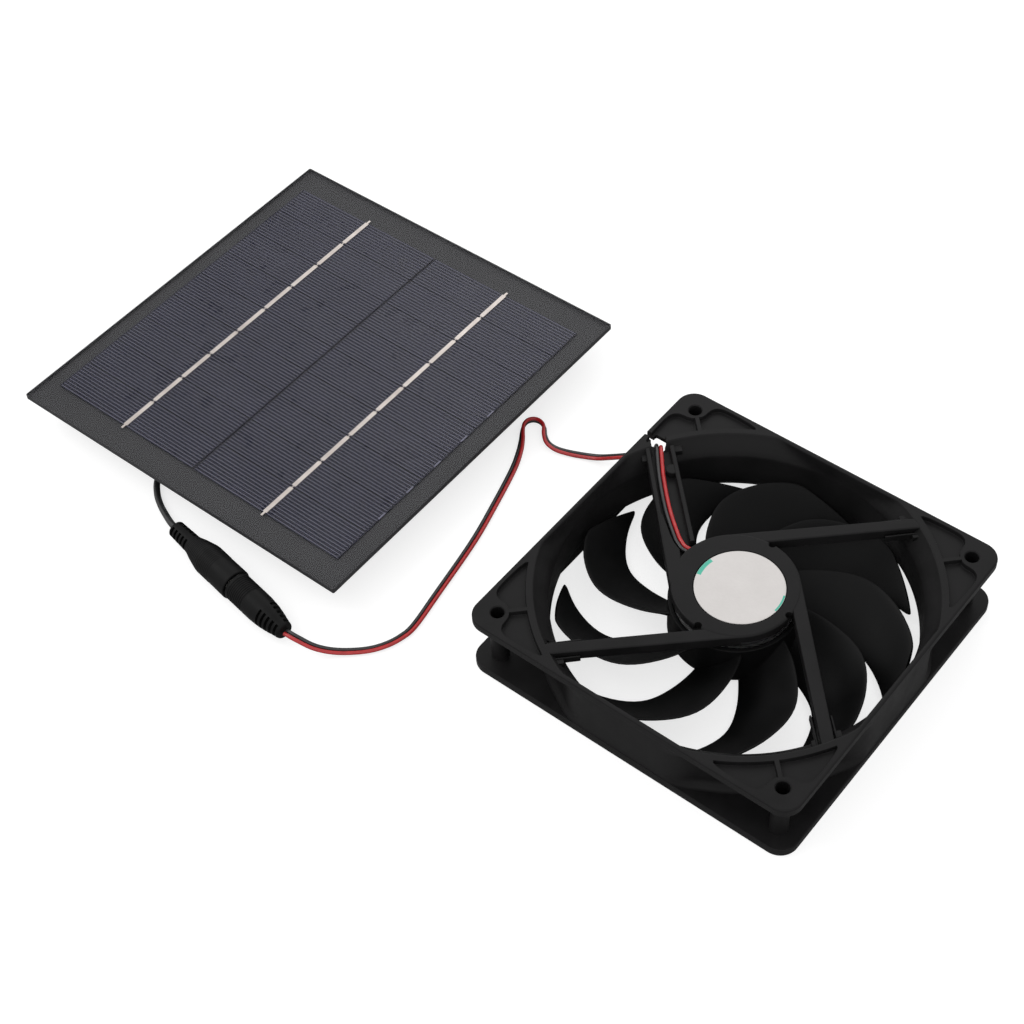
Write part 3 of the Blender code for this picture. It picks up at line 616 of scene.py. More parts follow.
def lead_pvc(name, dark, light, rough):
    """Smooth extruded insulation, slightly wavy, with dust and scuffs."""
    look = Look(name)
    look.set(Coat_Weight=0.25, Coat_Roughness=0.22)
    look.shade(look.noise(2.4, 4.0), 0.3, dark, 0.72, light)
    look.rough(look.noise(1.1, 3.0), *rough)
    look.bump(look.noise(0.9, 2.0), 0.025)
    return look.material


def ink(name, size, detail, dark, light):
    """A printed layer with a slight grain."""
    look = Look(name)
    grain = look.noise(size, detail)
    look.shade(grain, 0.3, dark, 0.7, light)
    look.rough(grain, 0.4, 0.55)
    return look.material


def label_film():
    """Satin label stock with a faint fibre mottle."""
    look = Look("label", roughness=0.5)
    fibres = look.noise(0.35, 3.0, (1.0, 0.35, 1.0))
    cloud = look.noise(7.0, 3.0)
    base = look.ramp(cloud, ((0.3, (0.575, 0.55, 0.535)), (0.7, (0.61, 0.585, 0.57))))
    fine = look.ramp(fibres, ((0.3, (0.96, 0.96, 0.96)), (0.7, (1.0, 1.0, 1.0))))
    look.colour(look.multiply(base, fine))
    look.rough(cloud, 0.42, 0.58)
    look.bump(fibres, 0.01)
    return look.material


def panel_sheet():
    """Black back sheet with the fine grain of the laminating press."""
    look = Look("panel_black")
    cloud = look.noise(14.0, 3.0)
    grain = look.noise(0.3, 2.0)
    look.shade(cloud, 0.3, (0.026, 0.026, 0.028), 0.7, (0.032, 0.032, 0.034))
    look.rough(cloud, 0.5, 0.6)
    look.set(Specular_IOR_Level=0.25)
    look.bump(grain, 0.0015)
    return look.material


def cell_silicon():
    """Blue-black silicon: small crystals with slightly different tints under an even coating."""
    look = Look("cell")
    crystals = look.cells(2.6, (1.0, 0.6, 1.0), "Color")
    cloud = look.noise(9.0, 3.0)
    tint = look.ramp(cloud, ((0.25, (0.007, 0.007, 0.016)), (0.75, (0.010, 0.010, 0.022))))
    facets = look.ramp(crystals, ((0.2, (0.90, 0.90, 0.92)), (0.8, (1.10, 1.10, 1.12))))
    look.colour(look.multiply(tint, facets))
    look.rough(cloud, 0.26, 0.36)
    look.set(Specular_IOR_Level=0.2)
    look.bump(look.noise(0.5, 3.0), 0.002)
    return look.material


def clear_film():
    """The laminated front film: nearly clear, with a soft orange-peel surface."""
    look = Look("film")
    look.set(Alpha=0.05, IOR=1.46)
    dust = look.noise(18.0, 5.0)
    look.shade(dust, 0.35, (0.10, 0.10, 0.11), 0.7, (0.15, 0.15, 0.16))
    look.rough(dust, 0.22, 0.34)
    look.bump(look.noise(1.3, 3.0), 0.002)
    return look.material


def circuit_board():
    look = Look("board")
    weave = look.waves(1.0, "X")
    look.shade(weave, 0.2, (0.02, 0.11, 0.05), 0.8, (0.035, 0.17, 0.08))
    look.rough(look.noise(3.0), 0.35, 0.5)
    look.bump(weave, 0.02)
    return look.material


def coil_copper():
    look = Look("copper", metallic=1.0)
    turns = look.waves(0.45, "Z")
    look.shade(turns, 0.1, (0.22, 0.07, 0.03), 0.6, (0.64, 0.26, 0.11))
    look.rough(look.noise(0.8), 0.25, 0.4)
    look.bump(turns, 0.15)
    return look.material


def foam_tape():
    look = Look("adhesive")
    foam = look.cells(0.6)
    look.shade(foam, 0.1, (0.36, 0.36, 0.36), 0.7, (0.55, 0.55, 0.54))
    look.rough(look.noise(2.0), 0.7, 0.85)
    look.bump(foam, 0.08)
    return look.material


def make_looks():
    return {
        "frame_plastic": moulded(
            "frame_plastic",
            (0.0075, 0.0073, 0.0075),
            (0.0108, 0.0104, 0.0108),
            (0.4, 0.54),
            shine=0.13,
        ),
        "blade_plastic": moulded(
            "blade_plastic",
            (0.003, 0.003, 0.0031),
            (0.005, 0.005, 0.0052),
            (0.46, 0.6),
            grain=0.3,
            depth=0.01,
            patch=12.0,
            shine=0.13,
        ),
        "connector": moulded(
            "connector",
            (0.003, 0.003, 0.0031),
            (0.0055, 0.0055, 0.0056),
            (0.42, 0.58),
            grain=0.18,
            patch=4.0,
            shine=0.12,
        ),
        "rubber": moulded("rubber", (0.014, 0.014, 0.014), (0.022, 0.022, 0.022), (0.65, 0.8)),
        "insulator": moulded("insulator", (0.62, 0.61, 0.56), (0.74, 0.73, 0.68), (0.4, 0.55)),
        "component": moulded("component", (0.020, 0.020, 0.021), (0.032, 0.032, 0.034), (0.4, 0.5)),
        "magnet": moulded("magnet", (0.045, 0.045, 0.048), (0.065, 0.065, 0.07), (0.5, 0.65)),
        "box": moulded("box", (0.020, 0.020, 0.021), (0.030, 0.030, 0.031), (0.42, 0.56)),
        "label": label_film(),
        "green": ink("label_green", 0.4, 3.0, (0.045, 0.36, 0.26), (0.075, 0.46, 0.34)),
        "bronze": metal("bronze", (0.42, 0.27, 0.11), (0.54, 0.36, 0.16), (0.32, 0.5)),
        "steel": metal("steel", (0.36, 0.36, 0.37), (0.47, 0.47, 0.48), (0.35, 0.5), (1, 1, 8)),
        "bright_steel": metal("bright_steel", (0.56, 0.56, 0.57), (0.66, 0.66, 0.67), (0.14, 0.26)),
        "nickel": metal("nickel", (0.60, 0.59, 0.56), (0.71, 0.70, 0.67), (0.2, 0.32)),
        "ribbon": metal("ribbon", (0.56, 0.50, 0.465), (0.70, 0.64, 0.60), (0.34, 0.5), (1, 6, 1), 0.9),
        "copper": coil_copper(),
        "board": circuit_board(),
        "adhesive": foam_tape(),
        "panel_black": panel_sheet(),
        "cell": cell_silicon(),
        "silver": ink("silver_print", 0.6, 4.0, (0.11, 0.11, 0.16), (0.15, 0.15, 0.21)),
        "film": clear_film(),
        "red_pvc": lead_pvc("red_pvc", (0.34, 0.008, 0.010), (0.46, 0.014, 0.016), (0.3, 0.42)),
        "black_pvc": lead_pvc("black_pvc", (0.009, 0.009, 0.0095), (0.016, 0.016, 0.017), (0.32, 0.46)),
    }


LOOKS = make_looks()


def dress(obj, look, body, node=None, angle=34):
    """Gives a finished piece its material, shading and body, and hides the CAD node that it stands for.
    """
    mesh = obj.data
    if not any(mesh.materials):
        mesh.materials.clear()
        mesh.materials.append(LOOKS[look])
    if obj.type == "MESH":
        mesh.shade_smooth()
        mesh.set_sharp_from_angle(angle=math.radians(angle))
        flat = obj.modifiers.new("flat_faces", "WEIGHTED_NORMAL")
        flat.keep_sharp = True
        flat.weight = 80
    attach(obj, body)
    if node:
        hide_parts(node)
    return obj


# ---------------- leads


def fan_lead_lines(count=300):
    """The two fan leads, side by side. The pair stands on edge where it doubles back."""
    fine = evenly([catmull(FAN_LEAD_ROUTE, i / 1600) for i in range(1601)], 500)
    red, black = [], []
    for i, point in enumerate(fine):
        before = Vector(fine[max(0, i - 1)][:3])
        after = Vector(fine[min(len(fine) - 1, i + 1)][:3])
        ahead = (after - before).normalized()
        azimuth = math.radians(point[3])
        dip = math.radians(point[4])
        flat = Vector((math.cos(azimuth), math.sin(azimuth), 0))
        side = flat * math.cos(dip) - Vector((0, 0, 1)) * math.sin(dip)
        side = (side - ahead * side.dot(ahead)).normalized()
        middle = Vector(point[:3])
        red.append(list(middle - side * FAN_LEAD_SPACING))
        black.append(list(middle + side * FAN_LEAD_SPACING))
    return evenly(red, count), evenly(black, count)


def lay_lead(name, points, radius, look, body):
    curve = bpy.data.curves.new(name, "CURVE")
    curve.dimensions = "3D"
    curve.bevel_depth = radius * MM
    curve.bevel_resolution = 5
    curve.use_fill_caps = True
    spline = curve.splines.new("POLY")
    spline.points.add(len(points) - 1)
    for target, point in zip(spline.points, points):
        target.co = (*[value * MM for value in point[:3]], 1.0)
        target.radius = 1.0
    spline.use_smooth = True
    lead = bpy.data.objects.new(name + "_skin", curve)
    bpy.context.scene.collection.objects.link(lead)
    dress(lead, look, body, name)


def make_leads():
    for colour, line in zip(("red", "black"), fan_lead_lines()):
        look = colour + "_pvc"
        lay_lead(colour + "_lead", line, FAN_LEAD_RADIUS, look, "fan_body")
    line = evenly([catmull(PANEL_LEAD_ROUTE, i / 600) for i in range(601)], 120)
    look = "black_pvc"
    body = "panel_assembly"
    lay_lead("panel_lead", line, PANEL_LEAD_RADIUS, look, body)


# ---------------- fan frame


def spoke_frame(outline, quarter):
    """Takes (along, across) points of a spoke, which runs tangent to the base, to fan coordinates."""
    return turned_outline(outline, 45 - 90 * quarter)


def smooth_step(value, low, high):
    t = min(1.0, max(0.0, (value - low) / (high - low)))
    return t * t * (3 - 2 * t)


def duct_outline(radius):
    """The duct's outside: round towards the corners, and flat where it meets the sides of the frame."""

    def radius_at(a):
        turn = math.degrees(a) % 90
        off = min(turn, 90 - turn)
        flat = SIDE_WALL / math.cos(math.radians(off))
        return flat + (min(radius, flat) - flat) * smooth_step(off, 12.5, 26.0)

    return polar(radius_at)


def corner_pocket():
    """One of the two shallow pockets that share a corner: it swells round the screw hole's boss."""
    edge = [tuple(catmull(POCKET_EDGE, i / 30)) for i in range(31)]
    last = math.degrees(math.atan2(46.7, 45.5))
    first = math.degrees(math.atan2(57.1, 31.6))
    steps = 14
    arc = []
    for i in range(steps + 1):
        a = math.radians(last + (first - last) * i / steps)
        arc.append((LIP_RADIUS * math.cos(a), LIP_RADIUS * math.sin(a)))
    return edge + arc


def add_pockets(bm):
    one = corner_pocket()
    other = [(y, x) for x, y in reversed(one)]
    floor = FAN_DEPTH - POCKET_DEPTH
    levels = ((floor, -0.3), (floor + 0.12, -0.08), (floor + 0.35, 0.0))
    levels += ((24.7, 0.05), (24.9, 0.16), (26, 0.4))
    for quarter in range(4):
        for outline in (one, other):
            shape = turned_outline(outline, 90 * quarter)
            add_loft(bm, [[(x, y, z) for x, y in grown(shape, out)] for z, out in levels])


def plain_spoke(reach, inset):
    """A spoke's outline from beside the motor base to a distance of reach from the fan's axis."""
    outline = []
    for (start, across), (end, outer), shift in ((*SPOKE_NEAR, inset), (*SPOKE_FAR, -inset)):
        along = math.sqrt(reach**2 - outer**2)
        slope = (outer - across) / (end - start)
        outline.append(((start, across + shift), (along, across + slope * (along - start) + shift)))
    (near_in, near_out), (far_in, far_out) = outline
    return [near_in, near_out, far_out, far_in]


def add_spokes(bm):
    lip = FAN_DEPTH - FLANGE
    low, high = SPOKE_REACH
    levels = (
        (SPOKE_BOTTOM, low, 0.35),
        (SPOKE_BOTTOM + 0.15, low, 0.12),
        (SPOKE_BOTTOM + 0.4, low, 0.0),
        (lip, low, 0.0),
        (lip + 0.6, high, 0.0),
        (SPOKE_TOP - 0.5, high, 0.0),
        (SPOKE_TOP - 0.2, high, 0.12),
        (SPOKE_TOP - 0.06, high, 0.3),
        (SPOKE_TOP, high, 0.55),
    )
    for q in PLAIN_SPOKES:
        rings = []
        for z, reach, inset in levels:
            rings.append([(x, y, z) for x, y in spoke_frame(plain_spoke(reach, inset), q)])
        add_loft(bm, rings)


def block(low, high, radius):
    """A rectangle between two (along, across) corners, with its own corners rounded off."""
    outline = [low, (high[0], low[1]), high, (low[0], high[1])]
    return softened(outline, radius) if radius else outline


def add_fins(bm):
    """Thin guide fins on both sides of each plain spoke's outer end."""
    outer = block((51.0, 18.75), (61.3, 19.35), 0.25)
    inner = block((50.0, 12.7), (62.2, 13.3), 0.25)
    for q in PLAIN_SPOKES:
        for fin in (outer, inner):
            add_plate(bm, spoke_frame(fin, q), SPOKE_BOTTOM + 0.3, FIN_TOP, 0.2, 2)


def add_lugs(bm):
    """Short square lugs beside the spokes' outer ends, and the round tab that holds the leads down."""
    outer = block((56.2, 18.9), (60.6, 20.9), 0.35)
    inner = block((58.6, 11.4), (61.9, 13.1), 0.35)
    for q in PLAIN_SPOKES:
        for lug in (outer, inner):
            add_plate(bm, spoke_frame(lug, q), SPOKE_BOTTOM + 0.5, LUG_TOP, 0.25, 2)
    outer = block((55.8, 18.4), (60.6, 20.6), 0.35)
    inner = block((58.4, 6.8), (62.0, 9.9), 0.35)
    for lug in (outer, inner):
        add_plate(bm, spoke_frame(lug, 0), SPOKE_BOTTOM + 0.5, LUG_TOP + 0.1, 0.25, 2)
    (x, y), radius = TAB_CENTRE, TAB_RADIUS
    tab = [(x - radius, y - 1.4)]
    tab += [(x - radius * math.cos(a), y + radius * math.sin(a)) for a in HALF_TURN]
    tab.append((x + radius, y - 1.4))
    add_plate(bm, spoke_frame(tab, 0), SPOKE_BOTTOM + 0.7, SPOKE_TOP - 0.3, 0.3)


def add_channel(bm):
    """The wire channel is a U-shaped spoke: floor, outer wall and inner rail, with soft top edges."""
    low = SPOKE_BOTTOM
    top = SPOKE_TOP
    floor = LEAD_BED
    edge = CHANNEL_EDGE
    inside = edge - CHANNEL_WALL
    rail = CHANNEL_RAIL
    step = rail + CHANNEL_WALL
    section = [(rail, low), (edge, low), (edge, top - 0.4), (edge - 0.12, top - 0.12)]
    section += [(edge - 0.4, top), (inside + 0.4, top), (inside + 0.12, top - 0.12)]
    section += [(inside, top - 0.4), (inside, floor + 0.3), (inside - 0.3, floor)]
    section += [(step + 0.3, floor), (step, floor + 0.3), (step, top - 0.4)]
    section += [(step - 0.12, top - 0.12), (step - 0.4, top), (rail + 0.4, top)]
    section += [(rail + 0.12, top - 0.12), (rail, top - 0.4)]
    rings = []
    for along, lean in ((3.0, CHANNEL_LEAN), (60.0, 0.0)):
        line = [(along, across + (lean if across > 15 else 0.0)) for across, _ in section]
        placed = spoke_frame(line, 0)
        rings.append([(x, y, z) for (x, y), (_, z) in zip(placed, section)])
    add_loft(bm, rings)


def add_air_passage(bm):
    """A throat that opens to a wider mouth at each face, with rounded lips."""
    half = (
        (-1.0, MOUTH + 1.2),
        (0.0, MOUTH + 0.75),
        (0.12, MOUTH + 0.4),
        (0.35, MOUTH + 0.14),
        (0.7, MOUTH),
        (2.2, 61.3),
        (4.2, 59.6),
        (5.8, 58.5),
        (MOUTH_DEPTH, THROAT),
    )
    levels = list(half) + [(FAN_DEPTH - z, r) for z, r in reversed(half)]
    rings = []
    for z, r in levels:
        clip = MOUTH_CLIP + max(0.0, r - MOUTH)
        rings.append([(x, y, z) for x, y in clipped_circle(r, clip)])
    add_loft(bm, rings)


def add_motor_base(bm):
    """A disc with a rounded edge, and the tube that holds the bearing."""
    top = FAN_DEPTH
    profile = [
        (BEARING_TUBE[0], top),
        (BASE_RADIUS - 0.8, top),
        (BASE_RADIUS - 0.4, top - 0.1),
        (BASE_RADIUS - 0.12, top - 0.35),
        (BASE_RADIUS, top - 0.75),
        (BASE_RADIUS, BASE_BOTTOM + 0.3),
        (BASE_RADIUS - 0.3, BASE_BOTTOM),
        (BEARING_TUBE[1], BASE_BOTTOM),
        (BEARING_TUBE[1], BEARING_TUBE_END),
        (BEARING_TUBE[0], BEARING_TUBE_END),
    ]
    add_turned(bm, profile, 120, closed=True)


def add_label_recess(bm):
    top = FAN_DEPTH + 0.7
    sink = FAN_DEPTH - 0.65
    r = LABEL_RADIUS + 0.3
    profile = ((0, sink), (r - 0.1, sink), (r, sink + 0.1), (r, FAN_DEPTH - 0.15))
    profile += ((r + 0.85, top), (0, top))
    add_turned(bm, profile, 120, centre=LABEL_CENTRE)


def add_duct(bm):
    """The duct's wall, with a collar at each flange."""
    half = (
        (1.0, COLLAR_OUTER),
        (FLANGE + 0.3, COLLAR_OUTER),
        (FLANGE + 1.2, 61.9),
        (FLANGE + 2.4, 60.8),
        (FLANGE + COLLAR_DEPTH, DUCT_OUTER),
    )
    levels = list(half) + [(FAN_DEPTH - z, r) for z, r in reversed(half)]
    add_loft(bm, [[(x, y, z) for x, y in duct_outline(r)] for z, r in levels])


def add_posts(bm):
    for corner in HOLE_CENTRES:
        add_plate(bm, circle(POST_RADIUS, 40, corner), FLANGE - 1, FAN_DEPTH - FLANGE + 1)


def add_screw_holes(bm):
    r = HOLE_RADIUS
    profile = ((0, -1), (r + 0.9, -1), (r + 0.35, 0.0), (r, 0.35))
    profile += ((r, 24.65), (r + 0.35, 25.0), (r + 0.9, 26), (0, 26))
    for corner in HOLE_CENTRES:
        add_turned(bm, profile, 40, centre=corner)


def add_corner_notches(bm):
    """A round notch in the motor base beside the inner end of each plain spoke."""
    for q in PLAIN_SPOKES:
        centre = spoke_frame([CORNER_NOTCH], q)[0]
        outline = circle(CORNER_NOTCH_RADIUS, 24, centre)
        add_plate(bm, outline, BASE_BOTTOM + 0.5, FAN_DEPTH + 1)


def make_channel():
    channel = made("wire_channel", add_channel)
    gap = spoke_frame(block((4.0, CHANNEL_RAIL - 0.5), (RAIL_START, 11.4), 0.0), 0)
    change(channel, "DIFFERENCE", "rail_gap", add_plate, gap, LEAD_BED, FAN_DEPTH + 1)
    return channel


def add_web(bm):
    """Fills the corner between the motor base and the wire channel's outer wall."""
    web = [(3.0, 20.05), (34.0, 18.9), (31.0, 17.9), (27.0, 17.3)]
    web += [(23.0, 16.85), (19.4, 16.15), (16.2, 14.85), (10.0, 15.5)]
    add_plate(bm, spoke_frame(web, 0), LEAD_BED - 0.5, FAN_DEPTH - 0.06, 0.15, 2, 0.0)


def cut_lead_way(housing):
    """The leads' way out: a tunnel in the base, a gap in the duct, a drop and a slit in the flange."""
    tunnel = [(13.1, 10.2), (16.6, 8.2), (17.7, 10.1), (18.8, 11.3)]
    tunnel += [(20.7, 12.2), (19.3, 16.0), (16.4, 14.5), (14.5, 12.5)]
    passage = block((52.0, 12.4), (63.4, 16.8), 0.6)
    drop = softened([(32.9, 51.6), (34.6, 51.6), (37.1, 53.2), (37.1, 57.3), (32.9, 57.3)], 0.6)
    slit = rectangle(0.8, 3.0, (34.9, 59.3))
    below = FAN_DEPTH - FLANGE - 1
    above = FAN_DEPTH + 1
    for name, outline, low, high, edge in (
        ("lead_tunnel", spoke_frame(tunnel, 0), LEAD_BED, TUNNEL_TOP, 0.4),
        ("lead_passage", spoke_frame(passage, 0), LEAD_BED + 0.02, above, 0.0),
        ("lead_drop", drop, below, above, 0.0),
        ("lead_slit", slit, below, above, 0.0),
    ):
        change(housing, "DIFFERENCE", name, add_plate, outline, low, high, edge, 3, 0.0)


def add_flanges(bm):
    square = rounded_rectangle(FAN_HALF, FAN_HALF, CORNER_RADIUS, 12)
    add_plate(bm, square, 0.0, FLANGE, 0.35, 3, 0.6)
    add_plate(bm, square, FAN_DEPTH - FLANGE, FAN_DEPTH, 0.7, 4, 0.35)


def make_frame():
    housing = made("fan_frame", add_flanges)
    change(housing, "UNION", "duct_wall", add_duct)
    change(housing, "UNION", "screw_posts", add_posts)
    change(housing, "DIFFERENCE", "air_passage", add_air_passage)
    change(housing, "DIFFERENCE", "screw_holes", add_screw_holes)
    change(housing, "DIFFERENCE", "pockets", add_pockets)
    change(housing, "UNION", "motor_base", add_motor_base)
    change(housing, "DIFFERENCE", "label_recess", add_label_recess)
    change(housing, "UNION", "spokes", add_spokes)
    combine(housing, make_channel(), "UNION")
    change(housing, "UNION", "channel_web", add_web)
    change(housing, "UNION", "fins", add_fins)
    change(housing, "UNION", "lugs", add_lugs)
    change(housing, "DIFFERENCE", "corner_notches", add_corner_notches)
    cut_lead_way(housing)
    carry(housing, at(FAN))
    dress(housing, "frame_plastic", "fan_body", "frame_housing", 32)


def add_label(bm):
    low = LABEL_TOP - 0.3
    radii = (0.0, 5.0, 9.0, 12.85, 13.6, LABEL_RADIUS - 0.06, LABEL_RADIUS)
    tops = (LABEL_TOP,) * 5 + (LABEL_TOP - 0.004, LABEL_TOP - 0.05)
    profile = list(zip(radii, tops)) + [(LABEL_RADIUS, low), (0.0, low)]
    add_turned(bm, profile, 144)
    for face in bm.faces:
        middle = face.calc_center_median()
        radius = math.hypot(middle.x, middle.y)
        angle = math.degrees(math.atan2(middle.y, middle.x))
        on_top = middle.z > LABEL_TOP - 0.01
        wide = 74 < angle < 105 and radius > 12.85
        narrow = -96 < angle < -68 and radius > 13.5
        face.material_index = 1 if on_top and (wide or narrow) else 0


def make_label():
    """The blank round label, with two short printed arcs at its rim."""
    place = at(FAN + Vector((*LABEL_CENTRE, 0.0)))
    label = made("label_disc", add_label, place=place)
    label.data.materials.append(LOOKS["label"])
    label.data.materials.append(LOOKS["green"])
    dress(label, "label", "fan_body", "motor_label", 40)


# ---------------- impeller


def blade_point(along, chord):
    """A blade's middle surface: along runs from root to tip, chord from leading to trailing edge."""
    lead = catmull(LEADING_EDGE, along)
    trail = catmull(TRAILING_EDGE, along)
    radius = lead[0] + (trail[0] - lead[0]) * chord
    angle = math.radians(lead[1] + (trail[1] - lead[1]) * chord)
    rise = 0.78 * chord + 0.22 * chord**2
    height = lead[2] + (trail[2] - lead[2]) * rise
    return Vector((radius * math.cos(angle), radius * math.sin(angle), height))


def blade_normal(along, chord):
    step = 0.01
    a0, a1 = max(0, along - step), min(1, along + step)
    c0, c1 = max(0, chord - step), min(1, chord + step)
    spanwise = blade_point(a1, chord) - blade_point(a0, chord)
    chordwise = blade_point(along, c1) - blade_point(along, c0)
    return spanwise.cross(chordwise).normalized()


def blade_rings(spans, chords):
    """Closed sections of a blade from root to tip: round edges, a little thicker at the hub."""
    places = [0.5 - 0.5 * math.cos(math.pi * j / chords) for j in range(chords + 1)]
    steps = [(i / spans) ** 1.25 for i in range(spans - 1)]
    steps += [0.925, 0.945, 0.962, 0.977, 0.989, 0.997, 1.0]
    rings = []
    for i, along in enumerate(steps):
        root = math.exp(-(((along * 36.0) / 1.9) ** 2))
        tip = 0.55 if i == len(steps) - 1 else 1.0
        # The tip's two corners are rounded
        near_tip = max(0.0, (along - 0.925) / 0.075)
        inset = 0.08 * (1 - math.sqrt(max(0.0, 1 - near_tip**2)))
        upper, lower = [], []
        for place in places:
            chord = inset + (1 - 2 * inset) * place
            shape = math.sqrt(max(0.0, 1 - (2 * place - 1) ** 8))
            thick = BLADE_THICKNESS * (0.16 + 0.62 * shape + 0.22 * math.sin(math.pi * place))
            offset = blade_normal(along, chord) * thick * tip * (1 + 0.9 * root) / 2
            upper.append(blade_point(along, chord) + offset)
            lower.append(blade_point(along, chord) - offset)
        rings.append(upper + lower[::-1])
    return rings


def add_blades(bm):
    rings = blade_rings(24, 18)
    for blade in range(BLADES):
        turn = Matrix.Rotation(2 * math.pi * blade / BLADES, 3, "Z")
        add_loft(bm, [[turn @ point for point in ring] for ring in rings])


def make_impeller():
    inner = HUB_RADIUS - HUB_WALL
    boss = 3.4
    bore = SHAFT_RADIUS + GAP
    profile = (
        (0, HUB_BOTTOM),
        (HUB_RADIUS - 2.4, HUB_BOTTOM),
        (HUB_RADIUS - 1.5, HUB_BOTTOM + 0.12),
        (HUB_RADIUS - 0.7, HUB_BOTTOM + 0.5),
        (HUB_RADIUS - 0.2, HUB_BOTTOM + 1.2),
        (HUB_RADIUS, HUB_BOTTOM + 2.2),
        (HUB_RADIUS, HUB_TOP - 0.3),
        (HUB_RADIUS - 0.1, HUB_TOP - 0.1),
        (HUB_RADIUS - 0.3, HUB_TOP),
        (inner + 0.25, HUB_TOP),
        (inner, HUB_TOP - 0.25),
        (inner, HUB_BOTTOM + 2),
        (boss, HUB_BOTTOM + 2),
        (boss, 7.0),
        (bore, 7.0),
        (bore, HUB_BOTTOM + 1.2),
        (0, HUB_BOTTOM + 1.2),
    )
    impeller = made("fan_rotor", add_turned, profile, 144)
    change(impeller, "UNION", "blades", add_blades)
    carry(impeller, at(FAN))
    dress(impeller, "blade_plastic", "rotor", "impeller", 38)


# ---------------- connector


def along_axis(start, along):
    """Heights along an axis from start, with the first direction straight up from the floor."""
    along = along.normalized()
    up = Vector((0, 0, 1))
    up = (up - along * up.dot(along)).normalized()
    turn = Matrix((up, along.cross(up), along)).transposed()
    return at(start) @ turn.to_4x4()


def add_slots(bm, first, radius_at, depth):
    """Curved slots on both sides of a relief. They leave a plain spine along its top and its bottom."""
    for i in range(SLOTS):
        z = first + SLOT_PITCH * i
        top = z + SLOT_WIDTH
        outer = radius_at(z) + 1.5
        for centre in (90, 270):
            rings = []
            for k in range(15):
                a = math.radians(centre + SLOT_REACH * (k / 7 - 1))
                low = radius_at(z) - depth + (0.0 if 0 < k < 14 else 0.5)
                corners = ((low, z), (low, top), (outer, top), (outer, z))
                rings.append([(r * math.cos(a), r * math.sin(a), h) for r, h in corners])
            add_loft(bm, rings)


def ribbed(line, pitch, depth):
    """Fine rings cut into a (radius, height) line, one for each pitch of height."""
    points = []
    for (low_radius, low), (high_radius, high) in zip(line, line[1:]):
        count = max(1, round((high - low) / pitch))
        for i in range(count):
            for share, cut in ((0.0, 0.0), (0.45, 0.0), (0.55, depth), (0.9, depth)):
                part = (i + share) / count
                radius = low_radius + (high_radius - low_radius) * part
                points.append((radius - cut, low + (high - low) * part))
    return points


def make_socket():
    """The panel's half of the connector, with its segmented strain relief."""
    mouth = SOCKET_LENGTH
    cone = ((3.4, 10.2), (4.4, 13.5), (5.35, 17.6), (5.5, 18.8), (5.5, 25.0))
    body = [(0, 0.0), (2.3, 0.0), (3.0, 0.45), (3.05, 2.0), (3.35, 9.6)] + ribbed(cone, 0.8, 0.09)
    body.append((5.5, mouth - 0.25))
    body += [(5.3, mouth), (4.3, mouth), (4.3, mouth - 14.0), (0, mouth - 14.0)]
    socket = made("socket_shell", add_turned, bead(body, 0.3, 3), 72)

    def radius_at(z):
        return 3.0 + 0.045 * z

    change(socket, "DIFFERENCE", "socket_slots", add_slots, 1.1, radius_at, 1.15)
    carry(socket, along_axis(CONNECTOR_START, CONNECTOR_END - CONNECTOR_START))
    return dress(socket, "connector", "panel_assembly", "socket_body", 36)


def make_plug():
    """The fan's half of the connector: grip rings, a smooth body and a bullet-shaped relief."""
    face = SOCKET_LENGTH + GAP
    end = CONNECTOR_LENGTH
    body = [(0, face), (4.7, face), (5.05, face + 0.35)]
    body += ribbed(((5.05, face + 1.2), (5.05, face + 8.6)), 0.85, 0.24)
    body += [(5.05, face + 9.0), (5.0, face + 13.0), (4.7, face + 17.0), (4.1, face + 20.5)]
    body += [(3.5, face + 23.0), (3.15, end - 0.7), (2.9, end - 0.15), (2.6, end), (0, end)]
    plug = made("plug_shell", add_turned, bead(body, 0.25, 3), 72)

    def radius_at(z):
        return 4.75 - (z - face - 17.0) * 0.19

    change(plug, "DIFFERENCE", "plug_slots", add_slots, end - 9.5, radius_at, 1.1)
    carry(plug, along_axis(CONNECTOR_START, CONNECTOR_END - CONNECTOR_START))
    return dress(plug, "connector", "fan_body", "plug_body", 36)


# ---------------- solar panel


def columns():
    return [(i - (CELL_COLUMNS - 1) / 2) * CELL_PITCH for i in range(CELL_COLUMNS)]


def on_panel(name, add, *shape, **options):
    return made(name, add, *shape, place=at(PANEL), **options)


def make_backsheet():
    """The backing board, with a low rim that the front film is bonded to."""
    sheet = rounded_rectangle(PANEL_WIDTH / 2, PANEL_LENGTH / 2, 0.6, 4)
    well = rounded_rectangle(PANEL_WIDTH / 2 - 0.35, PANEL_LENGTH / 2 - 0.35, 0.3, 3)
    rim = FILM[0] - 0.05
    board = on_panel("backing_board", add_plate, sheet, BACKSHEET[0], rim, 0.08, 2, 0.15)
    hollow = on_panel("board_well", add_plate, well, BACKSHEET[1], FILM[0] + 1.0)
    combine(board, hollow, "DIFFERENCE")
    dress(board, "panel_black", "panel_assembly", "panel_backsheet", 30)


def make_film():
    cover = rounded_rectangle(PANEL_WIDTH / 2, PANEL_LENGTH / 2, 0.6, 4)
    film = on_panel("cover_film", add_plate, cover, *FILM, 0.22, 3, 0.05)
    dress(film, "film", "panel_assembly", "front_film", 30)


